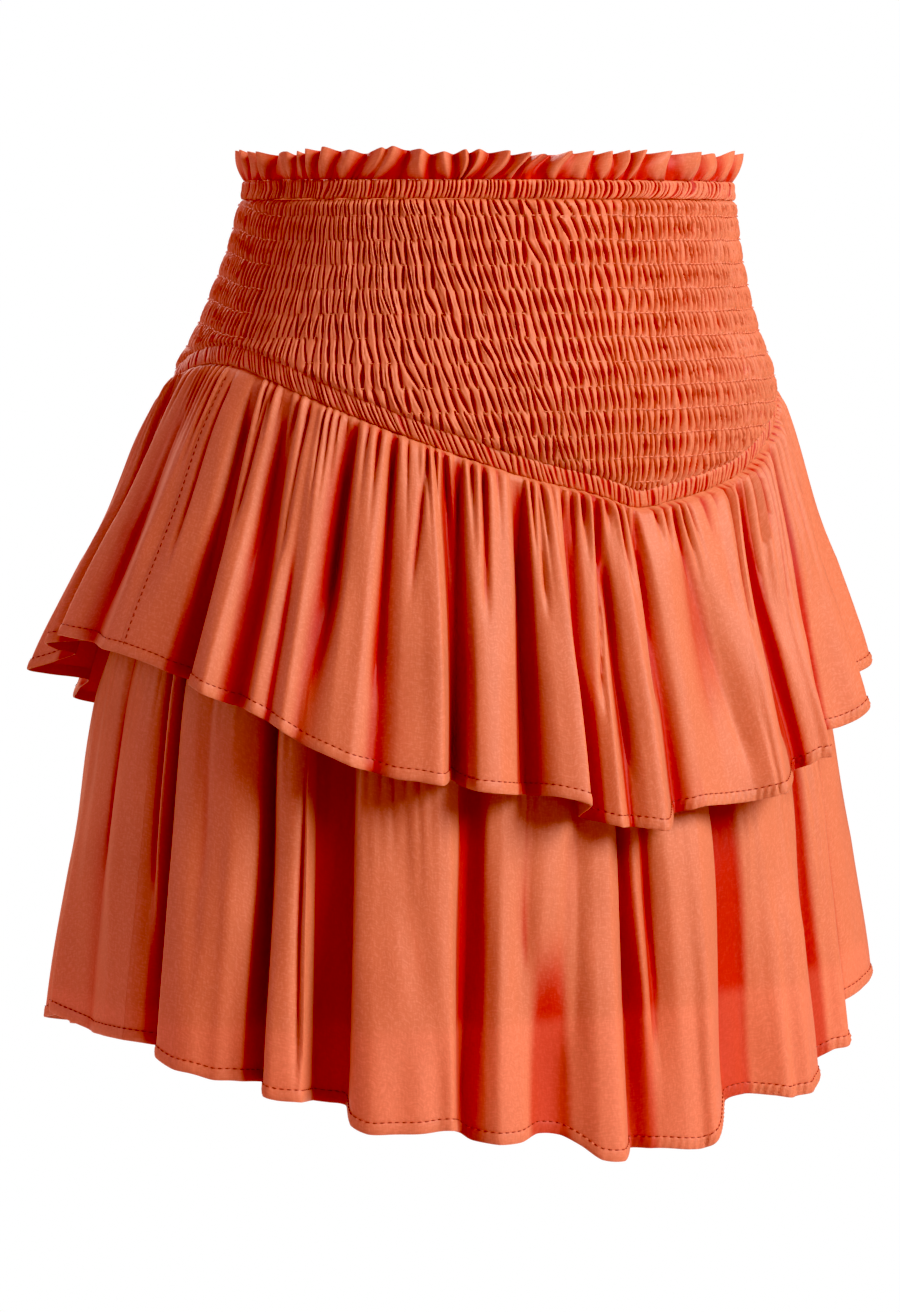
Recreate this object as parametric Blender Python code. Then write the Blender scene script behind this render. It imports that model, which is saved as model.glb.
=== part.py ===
"""Tiered ruffle skirt: frilled elastic waist, smocked V yoke, two gathered tiers and a lining.

Metres, +Z up.  The origin is the middle of the waist casing, where the wearer holds the
skirt.  The centre front faces -Y.  Angles run anticlockwise seen from above: 0 is the
wearer's left side, 90 the centre back, 180 the wearer's right side, 270 the centre front.
Every piece is a thin wall between side seams, filled out on a general figure.
"""
import math

import bpy
from mathutils import Vector

# ---- Driving dimensions -------------------------------------------------------------
RIGHT_SEAM_DEG = 186.0          # side seams sit a little in front of the widest line
LEFT_SEAM_DEG = 354.0
SEAM_GAP = 0.0003               # clearance between two sewn pieces
OVER_BAND_GAP = 0.0004          # between the yoke and the yoke band under it
UNDER_BAND_GAP = 0.0005         # between the yoke band and the tier and lining under it
TOUCH_GAP = 0.0004              # clearance between two walls that lie on each other

LINING_WALL = 0.0011
TIER_WALL = 0.0014
YOKE_WALL = 0.0020
BAND_WALL = 0.0033
FRILL_WALL = 0.0012

CASING_HEIGHT = 0.0094          # elastic waist casing, centred on the origin
CASING_BULGE = 0.0010
BAND_HEIGHT = 0.0085            # narrow gathered band along the V of the yoke
BAND_BULGE = 0.0009

FRILL_HEIGHT = 0.0125
FRILL_FLARE = 0.0016
FRILL_WAVES = {"front": 20, "back": 24}
FRILL_WAVE_LOW = 0.0005         # wave height at the casing and at the free edge
FRILL_WAVE_HIGH = 0.0034
FRILL_COLUMNS_PER_WAVE = 4
FRILL_RINGS = (0.0, 0.5, 1.0)
FRILL_LEAN_DEG = 1.1            # how far each wave tips over sideways
# Slow changes of wave height round the waist: times round, share of the height, phase.
FRILL_UNEVENNESS = (
    (5, 0.22, 0.7),
    (11, 0.15, 0.0),
)

ROW_PITCH = 0.0100              # distance between two rows of shirring elastic
SMOCK_RELIEF = 0.0013
SMOCK_COLUMNS = 62              # puffs and hollows in turn, in each half
SHORTEST_PUFF = 0.4             # share of a half row that still gets a level of its own
YOKE_INNER_RINGS = 4

SIDE_SEAM_DEPTH = 0.0743        # where the V seam crosses the side seams
V_DROP = 0.0610                 # how much lower the V seam is at centre front and back
V_SOFTNESS = 0.25               # rounds the V seam over the hips
# Where the front V hangs lower than the even one: angles from, most and to, and how far.
FRONT_V_SAGS = (
    (184.0, 244.0, 270.0, 0.0034),
    (260.0, 299.0, 350.0, 0.0115),
)

BAND_COLUMNS = 36
LINING_COLUMNS = 30
LINING_HEM_DEPTH = 0.3430
LINING_HEM_OUT = 0.0120         # the lining widens by this much on its way down

LOWER_SEAM_DEPTH = 0.1680       # seam of the lower tier on the lining, at the sides
LOWER_SEAM_DROP = 0.0570        # how much lower it is at centre front and back
LOWER_SEAM_ROUNDNESS = 1.5      # power that keeps it level over the hips

# Body form: depth under the waist, half width, half depth, shift towards the back.
BODY_SECTIONS = (
    (0.000, 0.1143, 0.0866, 0.0000),
    (0.027, 0.1200, 0.0916, 0.0030),
    (0.045, 0.1260, 0.0962, 0.0055),
    (0.062, 0.1325, 0.1010, 0.0078),
    (0.080, 0.1415, 0.1080, 0.0100),
    (0.100, 0.1468, 0.1124, 0.0125),
    (0.140, 0.1490, 0.1145, 0.0165),
    (0.200, 0.1500, 0.1160, 0.0200),
    (0.420, 0.1500, 0.1180, 0.0206),
)

# Mean line of each hem in plan: half width and half depth, before the folds are added.
HEM_SHIFT = BODY_SECTIONS[-1][3]
UPPER_HEM_ELLIPSE = (0.1900, 0.1530)
LOWER_HEM_ELLIPSE = (0.1930, 0.1560)

# Folds at the hems: angle, distance out from the mean line, depth of the hem.
UPPER_FRONT_FOLDS = (
    (186.0, 0.0050, 0.1930),
    (191.5, 0.0020, 0.1966),
    (197.0, 0.0050, 0.2012),
    (199.8, -0.0040, 0.2045),
    (204.5, 0.0100, 0.2092),
    (209.5, 0.0050, 0.2140),
    (214.0, 0.0090, 0.2203),
    (218.0, 0.0110, 0.2272),
    (222.5, 0.0090, 0.2335),
    (228.0, 0.0070, 0.2392),
    (232.5, 0.0110, 0.2412),
    (235.4, 0.0100, 0.2428),
    (236.7, -0.0060, 0.2420),
    (240.8, 0.0070, 0.2462),
    (243.8, 0.0060, 0.2475),
    (247.0, -0.0080, 0.2498),
    (251.0, 0.0040, 0.2512),
    (254.6, 0.0110, 0.2534),
    (253.8, -0.0080, 0.2600),
    (259.0, 0.0050, 0.2640),
    (265.4, 0.0140, 0.2668),
    (268.0, -0.0035, 0.2624),
    (274.0, -0.0030, 0.2612),
    (279.5, 0.0020, 0.2600),
    (284.0, 0.0130, 0.2575),
    (288.5, -0.0050, 0.2520),
    (296.5, 0.0100, 0.2462),
    (302.0, -0.0040, 0.2390),
    (307.0, 0.0090, 0.2356),
    (313.0, 0.0130, 0.2300),
    (320.0, -0.0040, 0.2235),
    (327.5, 0.0110, 0.2160),
    (334.5, -0.0040, 0.2080),
    (342.0, 0.0090, 0.2010),
    (348.0, -0.0020, 0.1960),
    (354.0, 0.0050, 0.1930),
)
UPPER_BACK_FOLDS = (
    (-6.0, 0.0050, 0.1930),
    (3.0, -0.0030, 0.1930),
    (11.0, 0.0090, 0.1965),
    (19.0, -0.0050, 0.2010),
    (27.0, 0.0100, 0.2090),
    (35.0, -0.0050, 0.2150),
    (43.5, 0.0120, 0.2260),
    (52.0, -0.0060, 0.2330),
    (60.5, 0.0100, 0.2440),
    (69.0, -0.0050, 0.2490),
    (77.5, 0.0120, 0.2590),
    (86.0, -0.0050, 0.2615),
    (94.5, 0.0090, 0.2640),
    (103.0, -0.0060, 0.2560),
    (112.0, 0.0120, 0.2500),
    (121.0, -0.0050, 0.2390),
    (130.0, 0.0100, 0.2310),
    (139.0, -0.0060, 0.2190),
    (148.5, 0.0175, 0.2112),
    (155.0, -0.0060, 0.2025),
    (161.5, 0.0080, 0.1955),
    (166.5, -0.0050, 0.1930),
    (170.5, 0.0100, 0.1892),
    (178.0, 0.0030, 0.1910),
    (183.0, 0.0070, 0.1922),
    (186.0, 0.0050, 0.1930),
)
LOWER_FRONT_FOLDS = (
    (186.0, 0.0020, 0.3580),
    (190.7, -0.0050, 0.3586),
    (193.0, -0.0080, 0.3600),
    (196.5, 0.0110, 0.3604),
    (202.0, 0.0150, 0.3636),
    (207.0, 0.0090, 0.3664),
    (211.5, -0.0070, 0.3694),
    (213.8, 0.0130, 0.3708),
    (216.6, 0.0120, 0.3736),
    (219.0, -0.0080, 0.3760),
    (223.0, -0.0060, 0.3784),
    (224.8, 0.0130, 0.3824),
    (229.0, 0.0160, 0.3850),
    (234.5, 0.0110, 0.3866),
    (237.5, -0.0030, 0.3888),
    (241.8, 0.0080, 0.3926),
    (248.5, -0.0110, 0.3920),
    (253.5, 0.0040, 0.3970),
    (258.0, 0.0150, 0.4028),
    (261.8, -0.0050, 0.4012),
    (266.0, 0.0090, 0.4026),
    (271.5, 0.0140, 0.4026),
    (278.5, -0.0110, 0.3930),
    (284.5, -0.0060, 0.3900),
    (290.5, 0.0110, 0.3936),
    (298.5, -0.0080, 0.3870),
    (305.5, 0.0050, 0.3812),
    (314.0, -0.0080, 0.3690),
    (324.5, 0.0090, 0.3610),
    (333.0, -0.0060, 0.3620),
    (341.0, 0.0100, 0.3590),
    (348.5, -0.0050, 0.3575),
    (354.0, 0.0020, 0.3572),
)
LOWER_BACK_FOLDS = (
    (-6.0, 0.0020, 0.3572),
    (3.0, 0.0080, 0.3570),
    (12.0, -0.0060, 0.3590),
    (21.0, 0.0100, 0.3625),
    (30.0, -0.0070, 0.3680),
    (39.0, 0.0110, 0.3745),
    (48.0, -0.0060, 0.3810),
    (57.0, 0.0120, 0.3885),
    (66.0, -0.0070, 0.3940),
    (75.0, 0.0100, 0.3995),
    (84.0, -0.0060, 0.4020),
    (93.0, 0.0120, 0.4035),
    (102.0, -0.0080, 0.4000),
    (111.0, 0.0100, 0.3965),
    (120.0, -0.0070, 0.3900),
    (129.0, 0.0120, 0.3840),
    (138.5, -0.0060, 0.3765),
    (148.0, 0.0080, 0.3685),
    (157.0, -0.0080, 0.3605),
    (166.0, 0.0080, 0.3550),
    (176.0, 0.0000, 0.3590),
    (186.0, 0.0020, 0.3580),
)

COLUMN_STEP_DEG = 2.6           # about the angle between two columns of a tier's wall
LEAST_STEPS_PER_ROW = 2         # columns from one row of a fold table to the next
UPPER_RINGS = (0.0, 0.09, 0.28, 0.52, 0.77, 1.0)
LOWER_RINGS = (0.0, 0.09, 0.25, 0.50, 0.76, 1.0)
UPPER_PUFF = 0.08               # share of the flare that comes right under the seam
LOWER_PUFF = 0.44
PUFF_POWER = 8.0                # how soon the puff is complete
UPPER_FOLD_GROWTH = 1.2         # a fold deepens as this power of the way down
LOWER_FOLD_GROWTH = 0.85
GATHER_HEIGHT = 0.0014          # small gathers just under a tier's seam
GATHER_HOLLOW = 0.3             # depth between two of them, as a share of the height
GATHER_RING = 1                 # ring of the wall that carries them
NORMAL_STEP = 0.01              # small move along a surface that gives its slope

CLOTH_COLOUR = (0.66, 0.085, 0.030, 1.0)
LINING_COLOUR = (0.60, 0.075, 0.028, 1.0)
CLOTH_ROUGHNESS = 0.75


# ---- Body form ------------------------------------------------------------------------
def section_at(rows, depth):
    """Row of a section table at a depth, eased between its neighbours (Catmull-Rom)."""
    last = len(rows) - 1
    if depth <= rows[0][0]:
        return rows[0][1:]
    if depth >= rows[last][0]:
        return rows[last][1:]
    index = next(i for i in range(last) if depth <= rows[i + 1][0])
    before, low, high, after = (rows[min(max(index + k, 0), last)] for k in (-1, 0, 1, 2))
    span = high[0] - low[0]
    way = (depth - low[0]) / span

    def slope(first, second, column):
        run = second[0] - first[0]
        return (second[column] - first[column]) / run * span if run else 0.0

    values = []
    for column in range(1, len(low)):
        start, end = low[column], high[column]
        slope_in = slope(before, high, column)
        slope_out = slope(low, after, column)
        values.append(
            (2 * way**3 - 3 * way**2 + 1) * start
            + (way**3 - 2 * way**2 + way) * slope_in
            + (3 * way**2 - 2 * way**3) * end
            + (way**3 - way**2) * slope_out
        )
    return values


def form_point(angle_deg, depth, out):
    """Point on the body form at an angle and depth, moved out by a distance."""
    half_width, half_depth, shift = section_at(BODY_SECTIONS, depth)
    angle = math.radians(angle_deg)
    return Vector((
        (half_width + out) * math.cos(angle),
        shift + (half_depth + out) * math.sin(angle),
        -depth,
    ))


def side_to_centre(angle_deg):
    """0 at the side of the body, 1 at the centre front and centre back."""
    turned = angle_deg % 180.0
    return min(turned, 180.0 - turned) / 90.0


def soft_step(way):
    """0 below 0, 1 above 1, and an even rise between them."""
    way = min(max(way, 0.0), 1.0)
    return way * way * (3.0 - 2.0 * way)


def front_v_sag(angle_deg):
    """How far the front V hangs below the even one."""
    turned = angle_deg % 360.0
    return sum(
        sag * min(soft_step((turned - start) / (most - start)),
                  soft_step((end - turned) / (end - most)))
        for start, most, end, sag in FRONT_V_SAGS
    )


def v_seam_depth(angle_deg):
    """Depth of the seam under the yoke band, a V in front and another behind."""
    way = side_to_centre(angle_deg)
    rounded = math.hypot(way, V_SOFTNESS) - V_SOFTNESS
    even = V_DROP * rounded / (math.hypot(1.0, V_SOFTNESS) - V_SOFTNESS)
    return SIDE_SEAM_DEPTH + even + front_v_sag(angle_deg)


def lower_seam_depth(angle_deg):
    """Depth of the seam that carries the lower tier on the lining."""
    rise = math.sin(side_to_centre(angle_deg) * math.pi / 2)
    return LOWER_SEAM_DEPTH + LOWER_SEAM_DROP * rise**LOWER_SEAM_ROUNDNESS


def lining_out(depth):
    """How far the lining stands off the body form; it widens towards its hem."""
    start = SIDE_SEAM_DEPTH
    way = max(0.0, (depth - start) / (LINING_HEM_DEPTH - start))
    return LINING_HEM_OUT * way


# ---- Walls ----------------------------------------------------------------------------
def end_faces(vertices, outer, inner):
    """Triangles between the outer and inner column at a side seam, from the top down."""
    faces = []
    i = j = 0
    while i < len(outer) - 1 or j < len(inner) - 1:
        outer_next = vertices[outer[i + 1]].z if i < len(outer) - 1 else -math.inf
        inner_next = vertices[inner[j + 1]].z if j < len(inner) - 1 else -math.inf
        if outer_next >= inner_next:
            faces.append((outer[i], inner[j], outer[i + 1]))
            i += 1
        else:
            faces.append((outer[i], inner[j], inner[j + 1]))
            j += 1
    return faces


def wall_object(name, outer, inner, material, parts):
    """Closed wall from outer and inner columns, each listed from top to bottom.

    Neighbouring columns may differ in length: the extra levels of the longer one are
    taken into the face that reaches the lower edge.
    """
    vertices = []

    def stored(columns):
        kept = []
        for column in columns:
            kept.append(range(len(vertices), len(vertices) + len(column)))
            vertices.extend(column)
        return kept

    outside, inside = stored(outer), stored(inner)
    faces = []
    for columns, facing_out in ((outside, True), (inside, False)):
        for left, right in zip(columns, columns[1:]):
            last = min(len(left), len(right)) - 2
            strip = [(left[i], left[i + 1], right[i + 1], right[i]) for i in range(last)]
            strip.append(tuple(left[last:]) + tuple(reversed(right[last:])))
            faces.extend(face if facing_out else face[::-1] for face in strip)
    for index in range(len(outside) - 1):
        left_out, right_out = outside[index], outside[index + 1]
        left_in, right_in = inside[index], inside[index + 1]
        faces.append((left_in[0], left_out[0], right_out[0], right_in[0]))
        faces.append((left_out[-1], left_in[-1], right_in[-1], right_out[-1]))
    faces.extend(end_faces(vertices, outside[0], inside[0]))
    faces.extend(face[::-1] for face in end_faces(vertices, outside[-1], inside[-1]))

    mesh = bpy.data.meshes.new(name)
    mesh.from_pydata([tuple(vertex) for vertex in vertices], [], faces)
    mesh.shade_smooth()
    mesh.materials.append(material)
    piece = bpy.data.objects.new(name, mesh)
    parts.objects.link(piece)
    return piece


def seam_margin(depth):
    """Angle of half a seam gap; near a side seam the form turns about its half depth."""
    half_depth = section_at(BODY_SECTIONS, depth)[1]
    return math.degrees(SEAM_GAP / 2 / half_depth)


def seam_to_seam(start_deg, end_deg, count, depth):
    """Angles of a panel's columns, stopped half a seam gap short of each side seam."""
    first, last = start_deg + seam_margin(depth), end_deg - seam_margin(depth)
    return [first + (last - first) * index / (count - 1) for index in range(count)]


# ---- Pieces ---------------------------------------------------------------------------
def frill_point(angle_deg, phase, way, out):
    """Point of the heading frill: way 0 is at the casing, 1 at the free edge."""
    turn = math.radians(angle_deg)
    uneven = 1.0 + sum(
        share * math.sin(times * turn + phase_at) for times, share, phase_at in FRILL_UNEVENNESS
    )
    height = FRILL_WAVE_LOW + (FRILL_WAVE_HIGH - FRILL_WAVE_LOW) * way
    lean = FRILL_LEAN_DEG * way * math.sin(phase)
    wave = height * uneven * math.cos(phase)
    point = form_point(angle_deg + lean, 0.0, BAND_WALL / 2 + FRILL_FLARE * way + wave + out)
    point.z = CASING_HEIGHT / 2 + SEAM_GAP + FRILL_HEIGHT * way
    return point


def offset_inward(surface, across, down, distance):
    """Inner side of a wall: the surface's point moved in along its own normal."""
    along = surface(across + NORMAL_STEP, down) - surface(across - NORMAL_STEP, down)
    below, above = min(down + NORMAL_STEP, 1.0), max(down - NORMAL_STEP, 0.0)
    downward = surface(across, below) - surface(across, above)
    normal = downward.cross(along).normalized()
    return surface(across, down) - normal * distance


def make_frill(name, start_deg, end_deg, waves, material, parts):
    """Heading frill of one panel, with a whole number of waves between its side seams."""
    angles = seam_to_seam(start_deg, end_deg, waves * FRILL_COLUMNS_PER_WAVE + 1, 0.0)
    levels = FRILL_RINGS[::-1]

    def surface(angle_deg, drop):
        phase = 2 * math.pi * waves * (angle_deg - start_deg) / (end_deg - start_deg)
        return frill_point(angle_deg, phase, 1.0 - drop, FRILL_WALL)

    outer = [[surface(angle, 1.0 - way) for way in levels] for angle in angles]
    inner = [
        [offset_inward(surface, angle, 1.0 - way, FRILL_WALL) for way in levels]
        for angle in angles
    ]
    for inner_column, outer_column in zip(inner, outer):
        for inner_point, outer_point in zip(inner_column, outer_column):
            inner_point.z = outer_point.z
    wall_object(name, outer, inner, material, parts)


def make_band(name, angles, top_depth, height, bulge, material, parts):
    """Gathered elastic band: a barrel-shaped strip whose top edge follows top_depth."""
    outer, inner = [], []
    for angle in angles:
        top = top_depth(angle)
        levels = (top, top + height / 2, top + height)
        outer.append([
            form_point(angle, level, BAND_WALL + bulge * (level == levels[1]))
            for level in levels
        ])
        inner.append([form_point(angle, level, 0.0) for level in levels])
    wall_object(name, outer, inner, material, parts)


def make_yoke(name, start_deg, end_deg, material, parts):
    """Smocked yoke panel: puffs between level rows of elastic, cut off by the V seam."""
    top = CASING_HEIGHT / 2 + SEAM_GAP
    half_row = ROW_PITCH / 2
    outer, inner = [], []
    for index, angle in enumerate(seam_to_seam(start_deg, end_deg, SMOCK_COLUMNS + 1, 0.0)):
        bottom = v_seam_depth(angle) - BAND_HEIGHT - OVER_BAND_GAP
        count = math.ceil((bottom - top) / half_row - SHORTEST_PUFF)
        column = []
        for level in range(count):
            between_rows = level % 2 == 1
            raised = between_rows and (index + level // 2) % 2 == 0
            depth = top + level * half_row
            column.append(form_point(angle, depth, YOKE_WALL + SMOCK_RELIEF * raised))
        column.append(form_point(angle, bottom, YOKE_WALL))
        outer.append(column)
        steps = YOKE_INNER_RINGS - 1
        inner.append([
            form_point(angle, top + (bottom - top) * step / steps, 0.0)
            for step in range(YOKE_INNER_RINGS)
        ])
    wall_object(name, outer, inner, material, parts)


def make_lining(name, start_deg, end_deg, material, parts):
    """Plain lining panel, from the yoke band down to its own hem."""
    outer, inner = [], []
    for angle in seam_to_seam(start_deg, end_deg, LINING_COLUMNS + 1, SIDE_SEAM_DEPTH):
        top = v_seam_depth(angle) + UNDER_BAND_GAP
        middle = lower_seam_depth(angle)
        levels = (top, (top + middle) / 2, middle, (middle + LINING_HEM_DEPTH) / 2, LINING_HEM_DEPTH)
        outer.append([form_point(angle, d, lining_out(d) + LINING_WALL) for d in levels])
        inner.append([form_point(angle, d, lining_out(d)) for d in levels])
    wall_object(name, outer, inner, material, parts)


def fold_loop(front_folds, back_folds):
    """Both fold tables as one loop, from the right seam round the front and the back."""
    behind = [(angle + 360.0, out, depth) for angle, out, depth in back_folds[:-1]]
    return list(front_folds[:-1]) + behind


def fold_row(loop, index):
    """Row of the loop; the angle runs on where the loop is passed more than once."""
    turns, index = divmod(index, len(loop))
    angle, out, depth = loop[index]
    return (angle + 360.0 * turns, out, depth)


def fold_at(loop, place):
    """Angle, distance out and hem depth at a place along the loop (Catmull-Rom)."""
    index = math.floor(place)
    way = place - index
    rows = [fold_row(loop, index + k) for k in (-1, 0, 1, 2)]
    return [
        0.5 * (2 * b + (c - a) * way + (2 * a - 5 * b + 4 * c - d) * way**2
               + (3 * b - a - 3 * c + d) * way**3)
        for a, b, c, d in zip(*rows)
    ]


def tier_surface(loop, hem_ellipse, seam_depth, seam_out, puff, fold_growth):
    """Outer surface of a gathered tier as a function of fold-table place and way down."""
    def surface(place, way):
        angle_deg, fold_out, hem_depth = fold_at(loop, place)
        top_depth = seam_depth(angle_deg) + UNDER_BAND_GAP
        top = form_point(angle_deg, top_depth, seam_out(top_depth) + TIER_WALL)
        angle = math.radians(angle_deg)
        outward = Vector((math.cos(angle), math.sin(angle), 0.0))
        hem = Vector((hem_ellipse[0] * outward.x, HEM_SHIFT + hem_ellipse[1] * outward.y, 0.0))
        flare = (1.0 - puff) * way + puff * (1.0 - (1.0 - way) ** PUFF_POWER)
        point = top.lerp(hem, flare) + outward * fold_out * way**fold_growth
        point.z = -(top_depth + (hem_depth - top_depth) * way)
        return point
    return surface


def panel_places(loop, first, last):
    """Places of a panel's columns along the loop, stopped short of both side seams."""
    margin = seam_margin(SIDE_SEAM_DEPTH)
    start = first + margin / (fold_row(loop, first + 1)[0] - fold_row(loop, first)[0])
    end = last - margin / (fold_row(loop, last)[0] - fold_row(loop, last - 1)[0])
    places = [start]
    for index in range(first, last):
        width = fold_row(loop, index + 1)[0] - fold_row(loop, index)[0]
        steps = max(LEAST_STEPS_PER_ROW, round(width / COLUMN_STEP_DEG))
        places += [index + step / steps for step in range(1, steps + 1)]
    return places[:-1] + [end]


def make_tier(name, surface, places, rings, material, parts):
    """Gathered tier panel with its folds, and a row of small gathers under its seam."""
    outer, inner = [], []
    for index, place in enumerate(places):
        gather = GATHER_HEIGHT * (1.0 if index % 2 else -GATHER_HOLLOW)
        outer_column, inner_column = [], []
        for ring, way in enumerate(rings):
            outer_point = surface(place, way)
            inner_point = offset_inward(surface, place, way, TIER_WALL)
            inner_point.z = outer_point.z
            if ring == GATHER_RING:
                push = (outer_point - inner_point).normalized() * gather
                outer_point += push
                inner_point += push
            outer_column.append(outer_point)
            inner_column.append(inner_point)
        outer.append(outer_column)
        inner.append(inner_column)
    wall_object(name, outer, inner, material, parts)


# ---- The skirt ------------------------------------------------------------------------
def cloth_material(name, colour):
    material = bpy.data.materials.new(name)
    material.use_nodes = True
    shader = material.node_tree.nodes["Principled BSDF"]
    shader.inputs["Base Color"].default_value = colour
    shader.inputs["Roughness"].default_value = CLOTH_ROUGHNESS
    shader.inputs["Metallic"].default_value = 0.0
    material.diffuse_color = colour
    return material


def main():
    for leftover in list(bpy.data.objects):
        bpy.data.objects.remove(leftover, do_unlink=True)
    parts = bpy.data.collections.new("tiered_ruffle_skirt")
    bpy.context.scene.collection.children.link(parts)
    cloth = cloth_material("skirt_cloth", CLOTH_COLOUR)
    lining = cloth_material("lining_cloth", LINING_COLOUR)

    def on_lining(depth):
        return lining_out(depth) + LINING_WALL + TOUCH_GAP

    upper_loop = fold_loop(UPPER_FRONT_FOLDS, UPPER_BACK_FOLDS)
    lower_loop = fold_loop(LOWER_FRONT_FOLDS, LOWER_BACK_FOLDS)
    upper = tier_surface(upper_loop, UPPER_HEM_ELLIPSE, v_seam_depth, on_lining,
                         UPPER_PUFF, UPPER_FOLD_GROWTH)
    lower = tier_surface(lower_loop, LOWER_HEM_ELLIPSE, lower_seam_depth, on_lining,
                         LOWER_PUFF, LOWER_FOLD_GROWTH)
    upper_seam = len(UPPER_FRONT_FOLDS) - 1
    lower_seam = len(LOWER_FRONT_FOLDS) - 1
    panels = (
        ("front", RIGHT_SEAM_DEG, LEFT_SEAM_DEG, (0, upper_seam), (0, lower_seam)),
        ("back", LEFT_SEAM_DEG, RIGHT_SEAM_DEG + 360.0,
         (upper_seam, len(upper_loop)), (lower_seam, len(lower_loop))),
    )
    for side, start, end, upper_span, lower_span in panels:
        make_frill("frill_" + side, start, end, FRILL_WAVES[side], cloth, parts)
        waist_angles = seam_to_seam(start, end, BAND_COLUMNS + 1, 0.0)
        make_band("waist_casing_" + side, waist_angles, lambda angle: -CASING_HEIGHT / 2,
                  CASING_HEIGHT, CASING_BULGE, cloth, parts)
        make_yoke("yoke_" + side, start, end, cloth, parts)
        band_angles = seam_to_seam(start, end, BAND_COLUMNS + 1, SIDE_SEAM_DEPTH)
        make_band("yoke_band_" + side, band_angles,
                  lambda angle: v_seam_depth(angle) - BAND_HEIGHT,
                  BAND_HEIGHT, BAND_BULGE, cloth, parts)
        make_lining("lining_" + side, start, end, lining, parts)
        make_tier("upper_tier_" + side, upper, panel_places(upper_loop, *upper_span),
                  UPPER_RINGS, cloth, parts)
        make_tier("lower_tier_" + side, lower, panel_places(lower_loop, *lower_span),
                  LOWER_RINGS, cloth, parts)


if __name__ == "__main__":
    main()
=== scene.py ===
"""Looks of the tiered ruffle skirt: cloth shells, gathers, smocking, stitches and stage.

Metres, +Z up.  The origin is the middle of the waist casing and the centre front faces -Y.
Angles run anticlockwise seen from above: 0 is the wearer's left side, 90 the centre back,
180 the wearer's right side, 270 the centre front.  Depths are measured down from the waist.
"""
import math
from dataclasses import dataclass

import bpy
import numpy as np
from bpy.props import FloatProperty, FloatVectorProperty, IntProperty, PointerProperty
from mathutils import Matrix, Vector


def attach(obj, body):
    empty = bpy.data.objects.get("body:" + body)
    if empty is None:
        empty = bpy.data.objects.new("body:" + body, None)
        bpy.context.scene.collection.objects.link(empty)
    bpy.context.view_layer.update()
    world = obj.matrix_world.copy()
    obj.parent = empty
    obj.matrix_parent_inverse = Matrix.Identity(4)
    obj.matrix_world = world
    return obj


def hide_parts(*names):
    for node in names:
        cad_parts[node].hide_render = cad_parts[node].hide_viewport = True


bl_info = {
    "name": "Tiered ruffle skirt",
    "version": (1, 0, 0),
    "blender": (4, 5, 0),
    "location": "View3D > Sidebar > Skirt",
    "description": "Dresses the skirt's solids with gathered cloth, smocking and stitches",
    "category": "Object",
}

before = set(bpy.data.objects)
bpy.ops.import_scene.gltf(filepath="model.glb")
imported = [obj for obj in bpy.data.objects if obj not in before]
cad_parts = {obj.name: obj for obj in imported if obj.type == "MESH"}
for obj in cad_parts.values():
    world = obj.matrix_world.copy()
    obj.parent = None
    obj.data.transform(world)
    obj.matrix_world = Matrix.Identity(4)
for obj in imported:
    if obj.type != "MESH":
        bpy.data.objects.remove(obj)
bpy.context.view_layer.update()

MM = 0.001

# ---- Sizes shared with the solids -----------------------------------------------------
RIGHT_SEAM_DEG = 186.0
LEFT_SEAM_DEG = 354.0
SEAM_HALF_GAP = 0.00004
PANELS = (
    ("front", RIGHT_SEAM_DEG, LEFT_SEAM_DEG),
    ("back", LEFT_SEAM_DEG, RIGHT_SEAM_DEG + 360.0),
)
CASING_HEIGHT = 0.0094
BAND_HEIGHT = 0.0085
FRILL_HEIGHT = 0.0125
FRILL_SEAM_Z = 0.0034
SIDE_SEAM_DEPTH = 0.0743
V_DROP = 0.0610
V_SOFTNESS = 0.25
V_TIP_SOFTNESS = 0.02
# Where the front V hangs lower than the even one: angles from, most and to, and how far.
FRONT_V_SAGS = ((184.0, 244.0, 270.0, 0.0034), (260.0, 299.0, 350.0, 0.0115))
LINING_HEM_DEPTH = 0.3430
LINING_HEM_OUT = 0.0120
LOWER_SEAM_DEPTH = 0.1680
LOWER_SEAM_DROP = 0.0570
LOWER_SEAM_ROUNDNESS = 1.5

# Body form: depth under the waist, half width, half depth, shift towards the back.
BODY_SECTIONS = np.array((
    (0.000, 0.1143, 0.0866, 0.0000),
    (0.027, 0.1200, 0.0916, 0.0030),
    (0.045, 0.1260, 0.0962, 0.0055),
    (0.062, 0.1325, 0.1010, 0.0078),
    (0.080, 0.1415, 0.1080, 0.0100),
    (0.100, 0.1468, 0.1124, 0.0125),
    (0.140, 0.1490, 0.1145, 0.0165),
    (0.200, 0.1500, 0.1160, 0.0200),
    (0.420, 0.1500, 0.1180, 0.0206),
))
HEM_SHIFT = 0.0206
UPPER_HEM_ELLIPSE = (0.1900, 0.1530)
LOWER_HEM_ELLIPSE = (0.1930, 0.1560)
HEM_WIDTH = 0.0047

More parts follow.
